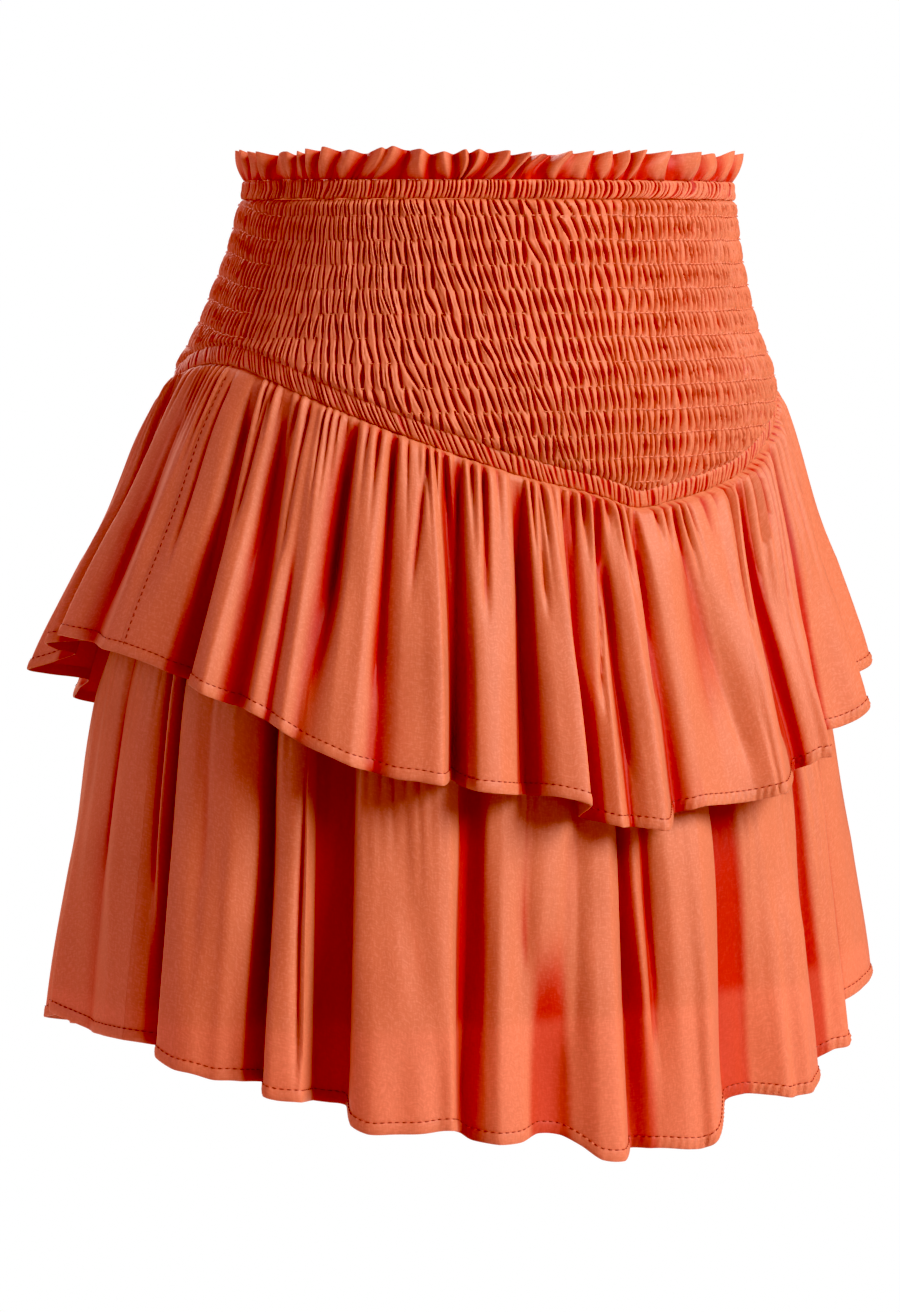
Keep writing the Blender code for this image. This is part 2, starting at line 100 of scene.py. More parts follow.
# ---- Fold lines -----------------------------------------------------------------------
# Each row is one line of the gathered cloth, ridge or hollow, followed down the tier, in
# degrees and millimetres: angle at the seam, angle at the hem, distance out half way down
# and at the hem from the tier's mean form, depth of the hem there.
UPPER_FRONT_LINES = (
    (186, 186, 3.5, 5, 193.2), (189.5, 190.5, 5, 3, 196), (193, 195.2, 2.5, 3, 200),
    (195.6, 198, -3.6, -4.5, 204), (197.8, 200.4, 3.2, 8.5, 203.4),
    (200.5, 203.3, 5, 11, 206.4), (203.3, 205.2, -2, 1.5, 210.8),
    (205.6, 207.2, -2.8, 1, 212.2), (208.3, 210, 3.6, 8.2, 213.5), (210.3, 212, 1.2, 5, 217.2),
    (212.8, 214.4, 4, 9, 220.5), (215, 216, 1.6, 5, 224.5), (217.9, 217.6, -3.6, 6, 227),
    (220, 220.5, 4.4, 9, 230.3), (223.2, 223.6, 4.8, 10, 234.5),
    (225.6, 226.3, -0.4, 4.5, 237.6), (227.6, 229.3, 4, 8.5, 240),
    (229.6, 232.5, 4.8, 10, 241.2), (231.6, 235.4, 6.8, 11.2, 242.8),
    (233.6, 236.8, -4.8, -6, 243), (236.3, 238.2, -2, -2, 245.2), (238.8, 239.8, 3.2, 7, 246),
    (241.8, 242.8, 3.6, 7, 247.3), (244.8, 245.6, 2.4, 0, 249.2),
    (246.6, 247.4, -5.6, -8, 250.6), (248.6, 249.2, 0, 2, 249.8), (250.2, 251, 3.6, 7.2, 250.3),
    (252.4, 254.3, 6.8, 11.2, 253.7), (255.3, 255.2, -4, -8, 261.2),
    (257.4, 257.2, 0, 0, 262.8), (259.4, 259.3, 3.2, 7, 264.7),
    (261.2, 261.3, -3.2, 3.5, 265.5), (262.6, 263.2, 2.8, 10, 266.2),
    (264.2, 265.3, 7.2, 12.2, 267), (267.2, 269.3, -3.2, -4, 263.1),
    (269.8, 271.2, 0.8, 1, 261.2), (272.6, 273, 2.8, 3, 260.2), (276, 277.4, -1, 2, 260.8),
    (278.6, 281.2, 1, 5, 260.4), (281.5, 283.2, 5.6, 11, 258.5), (291, 284.9, 8, 13, 257.2),
    (294.5, 292.6, -4.4, -1, 252.4), (296.6, 293.6, 1, 5, 249.7), (300, 295, 6.4, 9.5, 247),
    (305, 297, 8, 11.2, 245.8), (309.5, 303.5, -3.2, -4.5, 240.5), (313, 308.7, 2.4, 4, 238.5),
    (317, 312.8, 5.6, 12.5, 231.5), (322, 319.8, -3.2, -4, 223.5), (328.5, 327.5, 5, 11, 216),
    (335, 334.5, -3.2, -4, 208), (342, 342, 5.6, 9, 201), (348, 348, -0.8, -2, 196),
    (354, 354, 3.2, 5, 193),
)
UPPER_BACK_LINES = (
    (-6, -6, 3.4, 5, 193), (-1.5, -1.8, -0.8, 1, 192.9), (3.5, 3, -2.6, -3, 193),
    (7, 6.5, 3.4, 5, 194.6), (10.5, 11, 5.9, 9, 196.5), (14, 14.8, -0.8, 1, 198.4),
    (18.5, 19, -3.4, -5, 201), (23, 23, 2.6, 4, 205), (27.5, 27, 5.9, 10, 209),
    (31, 30.2, 0, 3.5, 211.8), (35, 35, -4.3, -5, 215), (39.5, 39.6, 3.4, 6, 220.2),
    (43, 43.5, 6.8, 12, 226), (47.5, 47.2, 1.7, 4, 229), (51.5, 52, -4.3, -6, 233),
    (56, 56.5, 1.7, 3, 238.8), (61, 60.5, 5.9, 10, 244), (65, 64.5, 0.8, 3.5, 246.2),
    (69, 69, -4.3, -5, 249), (73.5, 73.6, 2.6, 6, 254), (77, 77.5, 6.8, 12, 259),
    (82, 81.8, 0, 3, 260.5), (86.5, 86, -4.3, -5, 261.5), (90, 90.5, 2.6, 4, 263),
    (94, 94.5, 5.9, 9, 264), (98.5, 98.4, 0.8, 1, 260), (103.5, 103, -4.3, -6, 256),
    (107.5, 107.6, 2.6, 5, 253.2), (111.5, 112, 6.8, 12, 250), (117, 116.6, 0, 3, 244.6),
    (121.5, 121, -4.3, -5, 239), (125.5, 125.6, 2.6, 4, 235.2), (129.5, 130, 5.9, 10, 231),
    (134.5, 134.4, 0.8, 2, 225), (139.5, 139, -4.3, -6, 219), (144, 143.6, 3.4, 8, 215),
    (148.5, 148.5, 6.4, 17.5, 211.2), (152, 151.8, 2.6, 5, 206.8), (155, 155, -4.3, -6, 202.5),
    (158.5, 158.4, 1.7, 3, 199), (161.5, 161.5, 5.1, 8, 195.5), (164, 164, -0.8, 0, 194.2),
    (166.5, 166.5, -3.4, -5, 193), (170.5, 170.5, 5.9, 10, 189.2), (175, 174.6, 1.7, 5, 190.1),
    (179, 178.4, 0, 3, 191.1), (182.5, 183, 5.5, 7, 192.2), (186, 186, 3, 5, 193.2),
)
LOWER_FRONT_LINES = (
    (186, 186, 2, 2, 358.1), (187.2, 188.6, -2.3, -0.5, 358.5), (188.6, 190, 2, -4.5, 359.6),
    (190.2, 191.2, -3.7, -8.5, 360.6), (191.8, 195.6, 6, 10, 360.2),
    (194, 199.4, 7.8, 14, 363.2), (197, 202, 6, 14, 364.3), (199.6, 204.5, 6, 11.2, 366.5),
    (202.5, 206.4, 6.5, 9.5, 367), (206, 208.4, 3, 6, 367.6), (208.2, 210, -4.5, -6, 370),
    (210.6, 212.6, 6, 12, 371.6), (212.4, 214.6, 8, 14.2, 372.9),
    (214, 217.4, 7.5, 12.2, 373.8), (215.2, 217.2, -5.3, -6.5, 377),
    (218, 219.2, -6.4, -9, 378.4), (221.6, 222, -5.3, -7, 379), (222.9, 223.9, 6, 12, 382.9),
    (224.8, 226.2, 8.5, 16, 385.4), (227.4, 229.2, 7.8, 16, 385.8),
    (229.6, 231.4, 7.4, 15.4, 386), (232.4, 233.8, 8.2, 13.8, 386),
    (236.2, 236.5, 7.5, 11.2, 385.8), (238.2, 237.6, -2.4, -2.2, 389.6),
    (241.4, 239.2, -3.5, 2, 392.2), (245.4, 242.4, 5.2, 8, 393.3), (248.4, 245.4, 3, 5, 393.6),
    (252.2, 248, 3.6, 0, 391.8), (256, 251.2, 0, 1, 393.4), (257.6, 253.4, 3, 6, 397.5),
    (258.8, 255.4, 6.5, 12, 402.8), (260.2, 258.2, 8, 13, 404.1),
    (261.8, 261.8, -1.7, -2.7, 403.4), (263.4, 263.8, 3.5, 4, 403.2),
    (266.2, 265.8, -2.2, 6, 403.5), (268.8, 268.2, 5, 10, 404.4), (272, 270.2, 7, 11.2, 404.6),
    (275.5, 272, 9.5, 13, 401.5), (280, 278.6, -2.6, -5.4, 391.4),
    (284, 282.5, -3, -4.8, 390.2), (287, 285.4, 1, 3, 391.4), (290, 287.4, 7, 10, 392.7),
    (297, 291.8, 9, 11.2, 390.8), (303, 299, -2.2, -3.8, 386.8), (306, 302.4, 3, 3, 381.8),
    (309.5, 305, 5, 7.2, 380), (315.5, 313.5, -2.6, -4, 369.5), (320.5, 319, 4, 5, 364),
    (326.5, 325, 5, 9.2, 360.8), (333.5, 333, -2.2, -3.2, 362), (341, 341, 8, 10, 359),
    (348.5, 348.5, -1.7, -2.7, 357.5), (354, 354, 1.5, 2, 357.2),
)
LOWER_BACK_LINES = (
    (-6, -6, 1.5, 2, 357.2), (-1.6, -1.4, 5, 6, 357), (3, 3, 6, 8, 357),
    (7.5, 7.4, -1, 0, 357.8), (12, 12, -5, -6, 359), (16.5, 16.6, 3, 4, 360.6),
    (21, 21, 7, 10, 362.5), (25.5, 25.2, 1, 2, 365), (30, 30, -6, -7, 368),
    (34.5, 34.8, 3, 5, 371), (39, 39, 8, 11, 374.5), (43.5, 43.2, 2, 3.5, 377.8),
    (48, 48, -5, -6, 381), (52.5, 52.6, 4, 5, 384.6), (57, 57, 8, 12, 388.5),
    (61.5, 61.2, 1, 3, 391.2), (66, 66, -6, -7, 394), (70.5, 70.8, 3, 4, 396.8),
    (75, 75, 7, 10, 399.5), (79.5, 79.2, 1, 2, 400.8), (84, 84, -5, -6, 402),
    (88.5, 88.8, 4, 6, 402.8), (93, 93, 8, 12, 403.5), (97.5, 97.4, 1, 2, 401.8),
    (102, 102, -7, -8, 400), (106.5, 106.8, 2, 3, 398.2), (111, 111, 7, 10, 396.5),
    (115.5, 115.4, 0, 2, 393.2), (120, 120, -6, -7, 390), (124.5, 124.8, 4, 5, 387),
    (129, 129, 8, 12, 384), (134, 133.8, 1, 3, 380.2), (138.5, 138.5, -5, -6, 376.5),
    (143.5, 143.4, 3, 3, 372.5), (148, 148, 3.5, 8, 368.5), (152.5, 152.4, -1, 0, 364.5),
    (157, 157, -6, -8, 360.5), (161.5, 161.6, 1, 1, 357), (166, 166, 6, 8, 355),
    (171, 171, 5, 5, 357.2), (176, 176, 2, 0, 359), (181, 181, 4, 2, 358.4),
    (186, 186, 2, 2, 358.1),
)
UPPER_PUFF = 0.08
LOWER_PUFF = 0.44
PUFF_POWER = 8.0
HOLLOWS_GROWN_BY = 0.30
RIDGES_GROWN_BY = 0.62
# How sharply each column of the tables above bends at its rows, 0 smooth and 1 straight.
FOLD_CRISPNESS = np.array((0.5, 0.5, 0.5, 0.4, 0.15))
STARTING_RIDGE = 0.24       # share of a ridge that stands right under the seam

# How a tier leaves its seam.
SEAM_OVERLAP = 0.0008       # pieces reach this far under the band or seam beside them
SEAT_CLEARANCE = 0.0023     # the seam stands this far off the lining
EDGE_TUCK = 0.0018          # the raw edge turns in this far
TURNED_OUT_BY = 0.010       # share of the way down by which the edge has turned out
LINING_CLEARANCE = 0.0022   # the hollows stay this far off the lining
DEEPEST_SHARE = 0.92        # a hollow takes at most this share of the flare

# Stretches round the body: angles where each rises from, is full by, fades from, is gone by.
PLAIN_STRETCH = (183.0, 186.0, 192.0, 197.0)
FULLER_STRETCH = (278.0, 290.0, 318.0, 336.0)
LEANING_STRETCH = (185.0, 224.0, 240.0, 278.0)
# The elastic rows and the hems are pulled tighter from the first angle to the second.
PULLED_BY_DEG = (256.0, 276.0)

# Sharp creases, in degrees and millimetres: angle where each starts and ends, share of the
# way down there, depth, half width in degrees.
UPPER_CREASES = (
    (188.6, 189.6, 0.06, 0.6, 2, 0.5), (199.4, 200, 0.02, 0.44, 2.6, 0.6),
    (208.9, 209.4, 0.04, 0.48, 2.6, 0.6), (241, 241.2, 0.05, 0.42, 2.4, 0.6),
    (250.4, 250.6, 0.03, 0.38, 2.6, 0.5), (268.4, 267.8, 0.04, 0.6, 3, 0.6),
    (284.6, 284.4, 0.05, 0.36, 2.2, 0.6), (195, 196, 0, 0.7, 3.6, 0.8),
    (203.2, 204.2, 0, 0.55, 3.4, 0.7), (217.8, 217.5, 0.06, 0.56, 3.4, 0.8),
    (225.3, 225.6, 0.02, 0.72, 3.6, 0.6), (231.4, 230.2, 0.04, 0.4, 2.2, 0.5),
    (237, 237.2, 0, 0.95, 3.4, 0.8), (247.2, 246.6, 0, 0.98, 3.6, 0.8),
    (260.8, 258.8, 0.02, 0.62, 4, 0.6), (261.6, 261.9, 0.25, 0.8, 2.8, 0.6),
    (276.8, 281.5, 0.05, 0.85, 1.8, 1.4), (294.5, 289.5, 0, 0.8, 5, 1),
    (309, 301, 0, 0.7, 3.6, 1), (176.5, 178, 0.2, 0.8, 1.8, 0.8),
    (164.8, 165.6, 0.05, 0.75, 2.8, 0.9), (152.5, 153.6, 0.1, 0.8, 2.4, 0.9),
    (139, 138.4, 0, 0.7, 3.2, 0.8), (121.4, 121, 0.05, 0.85, 3.6, 0.7),
    (103.6, 102.8, 0, 0.6, 3, 0.8), (97.8, 98.2, 0.1, 0.5, 2, 0.5),
    (86.4, 86.2, 0.02, 0.9, 3.6, 0.8), (69.4, 69, 0, 0.65, 3, 0.6),
    (51.6, 52, 0.04, 0.88, 3.6, 0.9), (34.8, 35.2, 0, 0.72, 2.9, 0.7),
    (18.4, 19, 0.03, 0.82, 3.2, 0.8), (3.6, 3.2, 0, 0.6, 2.4, 0.8),
    (341, 341.4, 0.05, 0.45, 1.9, 0.6), (334.8, 334.4, 0, 0.8, 3.2, 0.9),
    (321.6, 320.2, 0.02, 0.86, 3.4, 0.8),
)
LOWER_CREASES = (
    (190, 191.2, 0.05, 0.96, 3.3, 0.7), (198.6, 201.2, 0.1, 0.8, 0.6, 1.4),
    (208.6, 209.6, 0.05, 0.8, 2.9, 0.7), (214.8, 216.6, 0.1, 0.92, 3.3, 0.6),
    (222.6, 222.4, 0.1, 0.95, 2.9, 0.5), (229.4, 230.2, 0.1, 0.6, 0.5, 1.4),
    (239.6, 238, 0.05, 0.95, 2.3, 0.7), (248.9, 247, 0.1, 0.55, 1, 1.2),
    (256, 253.2, 0.05, 0.75, 1.4, 1), (262.4, 261.4, 0.05, 0.98, 2.3, 0.5),
    (266.8, 265, 0.1, 0.8, 1.2, 1), (280.2, 278.4, 0.1, 0.9, 2, 0.9),
    (303.2, 299.6, 0.1, 0.85, 1.9, 0.9), (315.2, 314, 0.05, 0.9, 1.9, 0.9),
    (333.4, 333.2, 0.05, 0.85, 1.8, 0.9), (348.6, 348.4, 0.1, 0.7, 1.5, 0.8),
    (12.2, 12, 0.05, 0.85, 2.7, 0.8), (29.8, 30.2, 0.1, 0.92, 2.9, 0.7),
    (48.2, 48, 0.05, 0.75, 2.6, 0.9), (66.2, 65.8, 0.1, 0.9, 3, 0.7),
    (84.2, 84, 0.05, 0.8, 2.6, 0.8), (102.2, 101.8, 0.1, 0.95, 3.1, 0.8),
    (119.8, 120.2, 0.05, 0.85, 2.7, 0.7), (138.2, 138.6, 0.1, 0.8, 2.6, 0.8),
    (157.2, 156.8, 0.05, 0.9, 2.9, 0.8), (176.4, 176, 0.1, 0.6, 1.7, 0.7),
)

# Lines of the heading frill, ridge or hollow: angle, millimetres out at the free edge.
FRILL_FRONT_LINES = (
    (186, 3), (187.6, 3.6), (189.2, -1), (191.4, 3.2), (192.6, -0.6), (194.7, 3.4), (197, -1),
    (200.1, 3.6), (203, -0.8), (206.9, 3.4), (209.6, -1.6), (214.2, 3), (215.2, 0.6),
    (217.2, 3.2), (219.8, -1.8), (223.7, 3.6), (225.4, -1.2), (228.6, 2.6), (230.6, -1.2),
    (233.2, 3.6), (234.2, -1.2), (236.2, 3), (238.6, -1.4), (242.4, 3.8), (243.6, -1.2),
    (247, 3.2), (248.2, -1.6), (250.4, 0.6), (253.4, -2.2), (256.1, 3.4), (257.6, 0),
    (261.3, 3.4), (262.8, -1.6), (265.8, 3.4), (267.4, -1), (270.1, 3.4), (271.8, -1.8),
    (274.6, 3), (277.6, -1.6), (281.9, 3.6), (284.6, -1.4), (290.7, 3.4), (293.8, -1.2),
    (299.6, 3.6), (304, -1.2), (311.6, 3.4), (317, -1.2), (322.4, 3.2), (328, -1.4),
    (333.6, 3.6), (339.4, -1), (345, 3.2), (349.6, -1), (354, 3),
)
FRILL_BACK_WAVES = 25
FRILL_BACK_OUT = (-0.0012, 0.0034)
FRILL_FLARE = 0.0016
FRILL_SEAT = 0.0024
FRILL_MARGIN_DEG = 0.10
FRILL_THICKNESS = 0.0006

# The yoke's ribs and its rows of shirring elastic.
FIRST_ROW_DEPTH = 0.0117
ROW_PITCH = 0.0102
ROW_COUNT = 12
RIB_FOOT = 0.0011           # the ribs stand on cloth this far off the body form
LEAN_PIVOT_DEPTH = 0.060    # depth at which the leaning ribs keep their place
ROW_RISE = 0.0048           # how far the back's rows rise away from the right side seam
ROW_RISE_DEG = 26.0         # over how many degrees they do
FRONT_LEAN, BACK_LEAN = 190.0, 55.0     # degrees that the ribs drift for each metre down
RIB_FADE = 0.0026           # the ribs flatten this far above the band

# Seeds of the noise, each counted up from here by the parts that use it.
YOKE_SEED, FRILL_BACK_SEED, FRILL_SEED, LINING_SEED = 20, 31, 40, 91
CASING_SEED, BAND_SEED, UPPER_SEED, LOWER_SEED = 51, 61, 71, 81

# What shows of each cloth, laid flat: width of one panel or of a whole tier, and height.
FLAT_CUTS = {
    "frill": (0.42, 0.0135),
    "waist_casing": (0.50, 0.0105),
    "yoke_front": (0.52, 0.125),
    "yoke_back": (0.60, 0.125),
    "yoke_band": (0.58, 0.0100),
    "upper_tier": (1.50, 0.130),
    "lower_tier": (1.50, 0.185),
    "lining": (0.46, 0.255),
}
# Areas of the yoke's panels once they are cut to the V.
YOKE_AREAS = {"front": 0.050, "back": 0.056}


# ---- Body form ------------------------------------------------------------------------
def smooth(x):
    """0 below 0, 1 above 1, and a soft step between them."""
    x = np.clip(x, 0.0, 1.0)
    return x * x * (3.0 - 2.0 * x)


def between(x, low, high):
    """Soft step from 0 at low to 1 at high."""
    return smooth((np.asarray(x, float) - low) / (high - low))


def stretch(angle_deg, rise, full, fade, gone):
    """1 over a stretch of angles and 0 away from it, with soft ends."""
    return between(angle_deg, rise, full) * (1.0 - between(angle_deg, fade, gone))


def in_turn(angle_deg):
    """Angles brought between 0 and 360 degrees."""
    return np.mod(angle_deg, 360.0)


def section_at(depth):
    """Half width, half depth and shift of the body form at depths (Catmull-Rom)."""
    rows = BODY_SECTIONS
    last = len(rows) - 1
    depth = np.clip(depth, rows[0, 0], rows[last, 0])
    index = np.clip(np.searchsorted(rows[:, 0], depth, side="left") - 1, 0, last - 1)
    before, low, high, after = (
        rows[np.clip(index + step, 0, last)] for step in (-1, 0, 1, 2)
    )
    span = high[..., :1] - low[..., :1]
    way = (depth[..., None] - low[..., :1]) / span
    slope_in = (high - before) / (high[..., :1] - before[..., :1]) * span
    slope_out = (after - low) / (after[..., :1] - low[..., :1]) * span
    values = (
        (2 * way**3 - 3 * way**2 + 1) * low
        + (way**3 - 2 * way**2 + way) * slope_in
        + (3 * way**2 - 2 * way**3) * high
        + (way**3 - way**2) * slope_out
    )
    return values[..., 1], values[..., 2], values[..., 3]


def form_points(angle_deg, depth, out):
    """Points on the body form at angles and depths, moved out by distances."""
    angle_deg, depth, out = np.broadcast_arrays(angle_deg, depth, out)
    half_width, half_depth, shift = section_at(depth.astype(float))
    angle = np.radians(angle_deg)
    return np.stack((
        (half_width + out) * np.cos(angle),
        shift + (half_depth + out) * np.sin(angle),
        -depth,
    ), axis=-1)


def side_to_centre(angle_deg):
    """0 at the side of the body, 1 at the centre front and centre back."""
    turned = np.mod(angle_deg, 180.0)
    return np.minimum(turned, 180.0 - turned) / 90.0


def v_seam_depth(angle_deg):
    """Depth of the seam under the yoke band, a V in front and another behind."""
    way = 1.0 - np.hypot(1.0 - side_to_centre(angle_deg), V_TIP_SOFTNESS)
    rounded = np.hypot(way, V_SOFTNESS) - V_SOFTNESS
    even = V_DROP * rounded / (math.hypot(1.0, V_SOFTNESS) - V_SOFTNESS)
    turned = in_turn(angle_deg)
    sag = sum(
        depth * np.minimum(between(turned, start, most), 1.0 - between(turned, most, end))
        for start, most, end, depth in FRONT_V_SAGS
    )
    return SIDE_SEAM_DEPTH + even + sag


def casing_top_depth(angle_deg):
    """Depth of the casing's upper edge, level with the frill's seam."""
    return np.full(np.shape(angle_deg), -FRILL_SEAM_Z)


def band_top_depth(angle_deg):
    """Depth of the yoke band's upper edge, where the yoke ends."""
    return v_seam_depth(angle_deg) - BAND_HEIGHT


def lower_seam_depth(angle_deg):
    """Depth of the seam that carries the lower tier on the lining."""
    rise = np.sin(side_to_centre(angle_deg) * math.pi / 2)
    return LOWER_SEAM_DEPTH + LOWER_SEAM_DROP * rise**LOWER_SEAM_ROUNDNESS


def lining_sway(depth):
    """How far the lining's soft waves swing either way."""
    return 0.0022 * between(depth, 0.14, LINING_HEM_DEPTH)


def lining_out(depth):
    """How far the lining stands off the body form."""
    way = (depth - SIDE_SEAM_DEPTH) / (LINING_HEM_DEPTH - SIDE_SEAM_DEPTH)
    return LINING_HEM_OUT * np.maximum(way, 0.0)


NOISE_ROWS = 64


def ring_noise(angle_deg, down, cells, seed):
    """Smooth noise from -1 to 1 that closes round the body: cells steps round it."""
    lattice = np.random.default_rng(seed).uniform(-1.0, 1.0, (cells, NOISE_ROWS))
    across = np.asarray(angle_deg, float) / 360.0 * cells
    down = np.asarray(down, float)
    column, row = np.floor(across).astype(int), np.floor(down).astype(int)
    side, fall = smooth(across - column), smooth(down - row)

    def corner(right, below):
        return lattice[(column + right) % cells, (row + below) % NOISE_ROWS]

    top = corner(0, 0) * (1 - side) + corner(1, 0) * side
    bottom = corner(0, 1) * (1 - side) + corner(1, 1) * side
    return top * (1 - fall) + bottom * fall


def level_noise(angle_deg, cells, seed):
    """Smooth noise round the body that stays the same all the way down."""
    return ring_noise(angle_deg, 0.5, cells, seed)


def cell_noise(column, row, cells, seed):
    """One value from -1 to 1 for each whole column round the body and whole row."""
    lattice = np.random.default_rng(seed).uniform(-1.0, 1.0, (cells, NOISE_ROWS))
    return lattice[np.mod(column, cells).astype(int),
                   np.mod(np.asarray(row), NOISE_ROWS).astype(int)]


# ---- Cloth shells ---------------------------------------------------------------------
SHARP_DEG = 65.0


def grid_normals(points):
    """Outward normals of a grid of points: columns run round the body, rows run down."""
    along = np.gradient(points, axis=0)
    down = np.gradient(points, axis=1)
    normals = np.cross(down, along)
    return normals / np.maximum(np.linalg.norm(normals, axis=-1, keepdims=True), 1e-12)


def arc_lengths(points):
    """Running length along a line of points, from 0."""
    steps = np.linalg.norm(np.diff(points, axis=0), axis=1)
    return np.concatenate(([0.0], np.cumsum(steps)))


def grid_faces(start, columns, rows, outward):
    """Quads of a grid whose vertices are stored column by column."""
    index = start + np.arange(columns * rows).reshape(columns, rows)
    quads = np.stack((
        index[:-1, :-1], index[:-1, 1:], index[1:, 1:], index[1:, :-1],
    ), axis=-1).reshape(-1, 4)
    return index, quads if outward else quads[:, ::-1]


def cap_faces(points, outer, inner):
    """Triangles that close a side seam between an outer and an inner column."""
    faces = []
    i = j = 0
    while i < len(outer) - 1 or j < len(inner) - 1:
        outer_next = points[outer[i + 1], 2] if i < len(outer) - 1 else -math.inf
        inner_next = points[inner[j + 1], 2] if j < len(inner) - 1 else -math.inf
        if outer_next >= inner_next:
            faces.append((outer[i], inner[j], outer[i + 1]))
            i += 1
        else:
            faces.append((outer[i], inner[j], inner[j + 1]))
            j += 1
    return faces


def inner_side(outer, thickness, level=False):
    """The cloth's other face: every second row and the last, moved in by the thickness.

    level keeps each row at its own height.
    """
    inner = outer - grid_normals(outer) * thickness
    if level:
        inner[..., 2] = outer[..., 2]
    last = outer.shape[1] - 1
    return inner[:, np.append(np.arange(0, last, 2), last)]


def cloth_shell(name, outer, inner, hollow, material):
    """Closed shell of cloth from two grids of points with the same number of columns.

    hollow tells, from 0 to 1, how much shade is painted on each outer point, most
    where it lies deep between its neighbours, and material is the name of the cloth.
    """
    columns, outer_rows = outer.shape[:2]
    inner_rows = inner.shape[1]
    points = np.concatenate((outer.reshape(-1, 3), inner.reshape(-1, 3)))
    out_index, out_quads = grid_faces(0, columns, outer_rows, True)
    in_index, in_quads = grid_faces(columns * outer_rows, columns, inner_rows, False)
    top = np.stack((in_index[:-1, 0], out_index[:-1, 0], out_index[1:, 0], in_index[1:, 0]), -1)
    bottom = np.stack(
        (out_index[:-1, -1], in_index[:-1, -1], in_index[1:, -1], out_index[1:, -1]), -1
    )
    faces = np.concatenate((out_quads, in_quads, top, bottom)).tolist()
    faces += cap_faces(points, out_index[0], in_index[0])
    faces += [face[::-1] for face in cap_faces(points, out_index[-1], in_index[-1])]

    mesh = bpy.data.meshes.new(name)
    mesh.from_pydata(points.tolist(), [], faces)
    mesh.shade_smooth()
    mesh.set_sharp_from_angle(angle=math.radians(SHARP_DEG))
    mesh.materials.append(material_named(material))
    across = arc_lengths(outer[:, outer_rows // 2])
    uv = np.concatenate([
        np.stack(np.broadcast_arrays(
            across[:, None],
            np.linalg.norm(np.diff(grid, axis=1, prepend=grid[:, :1]), axis=2).cumsum(axis=1),
        ), axis=-1).reshape(-1, 2)
        for grid in (outer, inner)
    ])
    corners = np.empty(len(mesh.loops), np.int32)
    mesh.loops.foreach_get("vertex_index", corners)
    mesh.uv_layers.new(name="cloth").data.foreach_set("uv", uv[corners].ravel())
    # No shade is painted on the cloth's inner side.
    inner_painted_shade = np.zeros(columns * inner_rows)
    mesh.attributes.new("hollow", "FLOAT", "POINT").data.foreach_set(
        "value", np.concatenate((np.ravel(hollow), inner_painted_shade)).astype(np.float32)
    )
    piece = bpy.data.objects.new(name, mesh)
    bpy.context.scene.collection.objects.link(piece)
    return piece


def seam_angles(start_deg, end_deg, count, reach=0.12):
    """Column angles from one side seam to the other, stopped short of each.

    reach is about how far the seams stand from the body's axis.
    """
    margin = math.degrees(SEAM_HALF_GAP / reach)
    return np.linspace(start_deg + margin, end_deg - margin, count)


def round_seam(grid_height, angles, start_deg, end_deg, width_deg=1.1):
    """Turns a relief in towards both side seams, where the cloth is sewn."""
    edge = np.minimum(np.abs(angles - start_deg), np.abs(angles - end_deg))
    return grid_height * smooth(edge / width_deg)[:, None]


def dress(piece, node, slot, flat, held, **cut):
    """Attaches a cloth piece to the root body and hides the solid of its node; slot, flat, held
    and cut are not used.
    """
    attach(piece, "root")
    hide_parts(node)


# ---- Materials ------------------------------------------------------------------------
WEAVE_DEPTH = 0.00012
CLOUDS_PER_METRE = 38.0
CLOUDINESS = 0.16
CRUMPLES_PER_METRE = (70.0, 26.0, 1.0)
SHEEN_TINT = (1.0, 0.66, 0.44, 1.0)
TURNS_PER_METRE = 2200.0


class Wire:
    """A shader socket that adds Math nodes when it stands in an expression."""

    def __init__(self, tree, socket):
        self.tree = tree
        self.socket = socket

    def math(self, operation, *others):
        """This socket and others through one Math node."""
        node = self.tree.nodes.new("ShaderNodeMath")
        node.operation = operation
        for slot, value in zip(node.inputs, (self, *others)):
            plug(self.tree, slot, value)
        return Wire(self.tree, node.outputs[0])

    def __add__(self, other):
        return self.math("ADD", other)

    __radd__ = __add__

    def __mul__(self, other):
        return self.math("MULTIPLY", other)

    __rmul__ = __mul__

    def __sub__(self, other):
        return self.math("SUBTRACT", other)

    def __rsub__(self, other):
        return (self * -1.0) + other


def plug(tree, slot, value):
    """Sets an input socket to a value, or links it to another node's output."""
    if isinstance(value, Wire):
        tree.links.new(value.socket, slot)
    else:
        slot.default_value = value


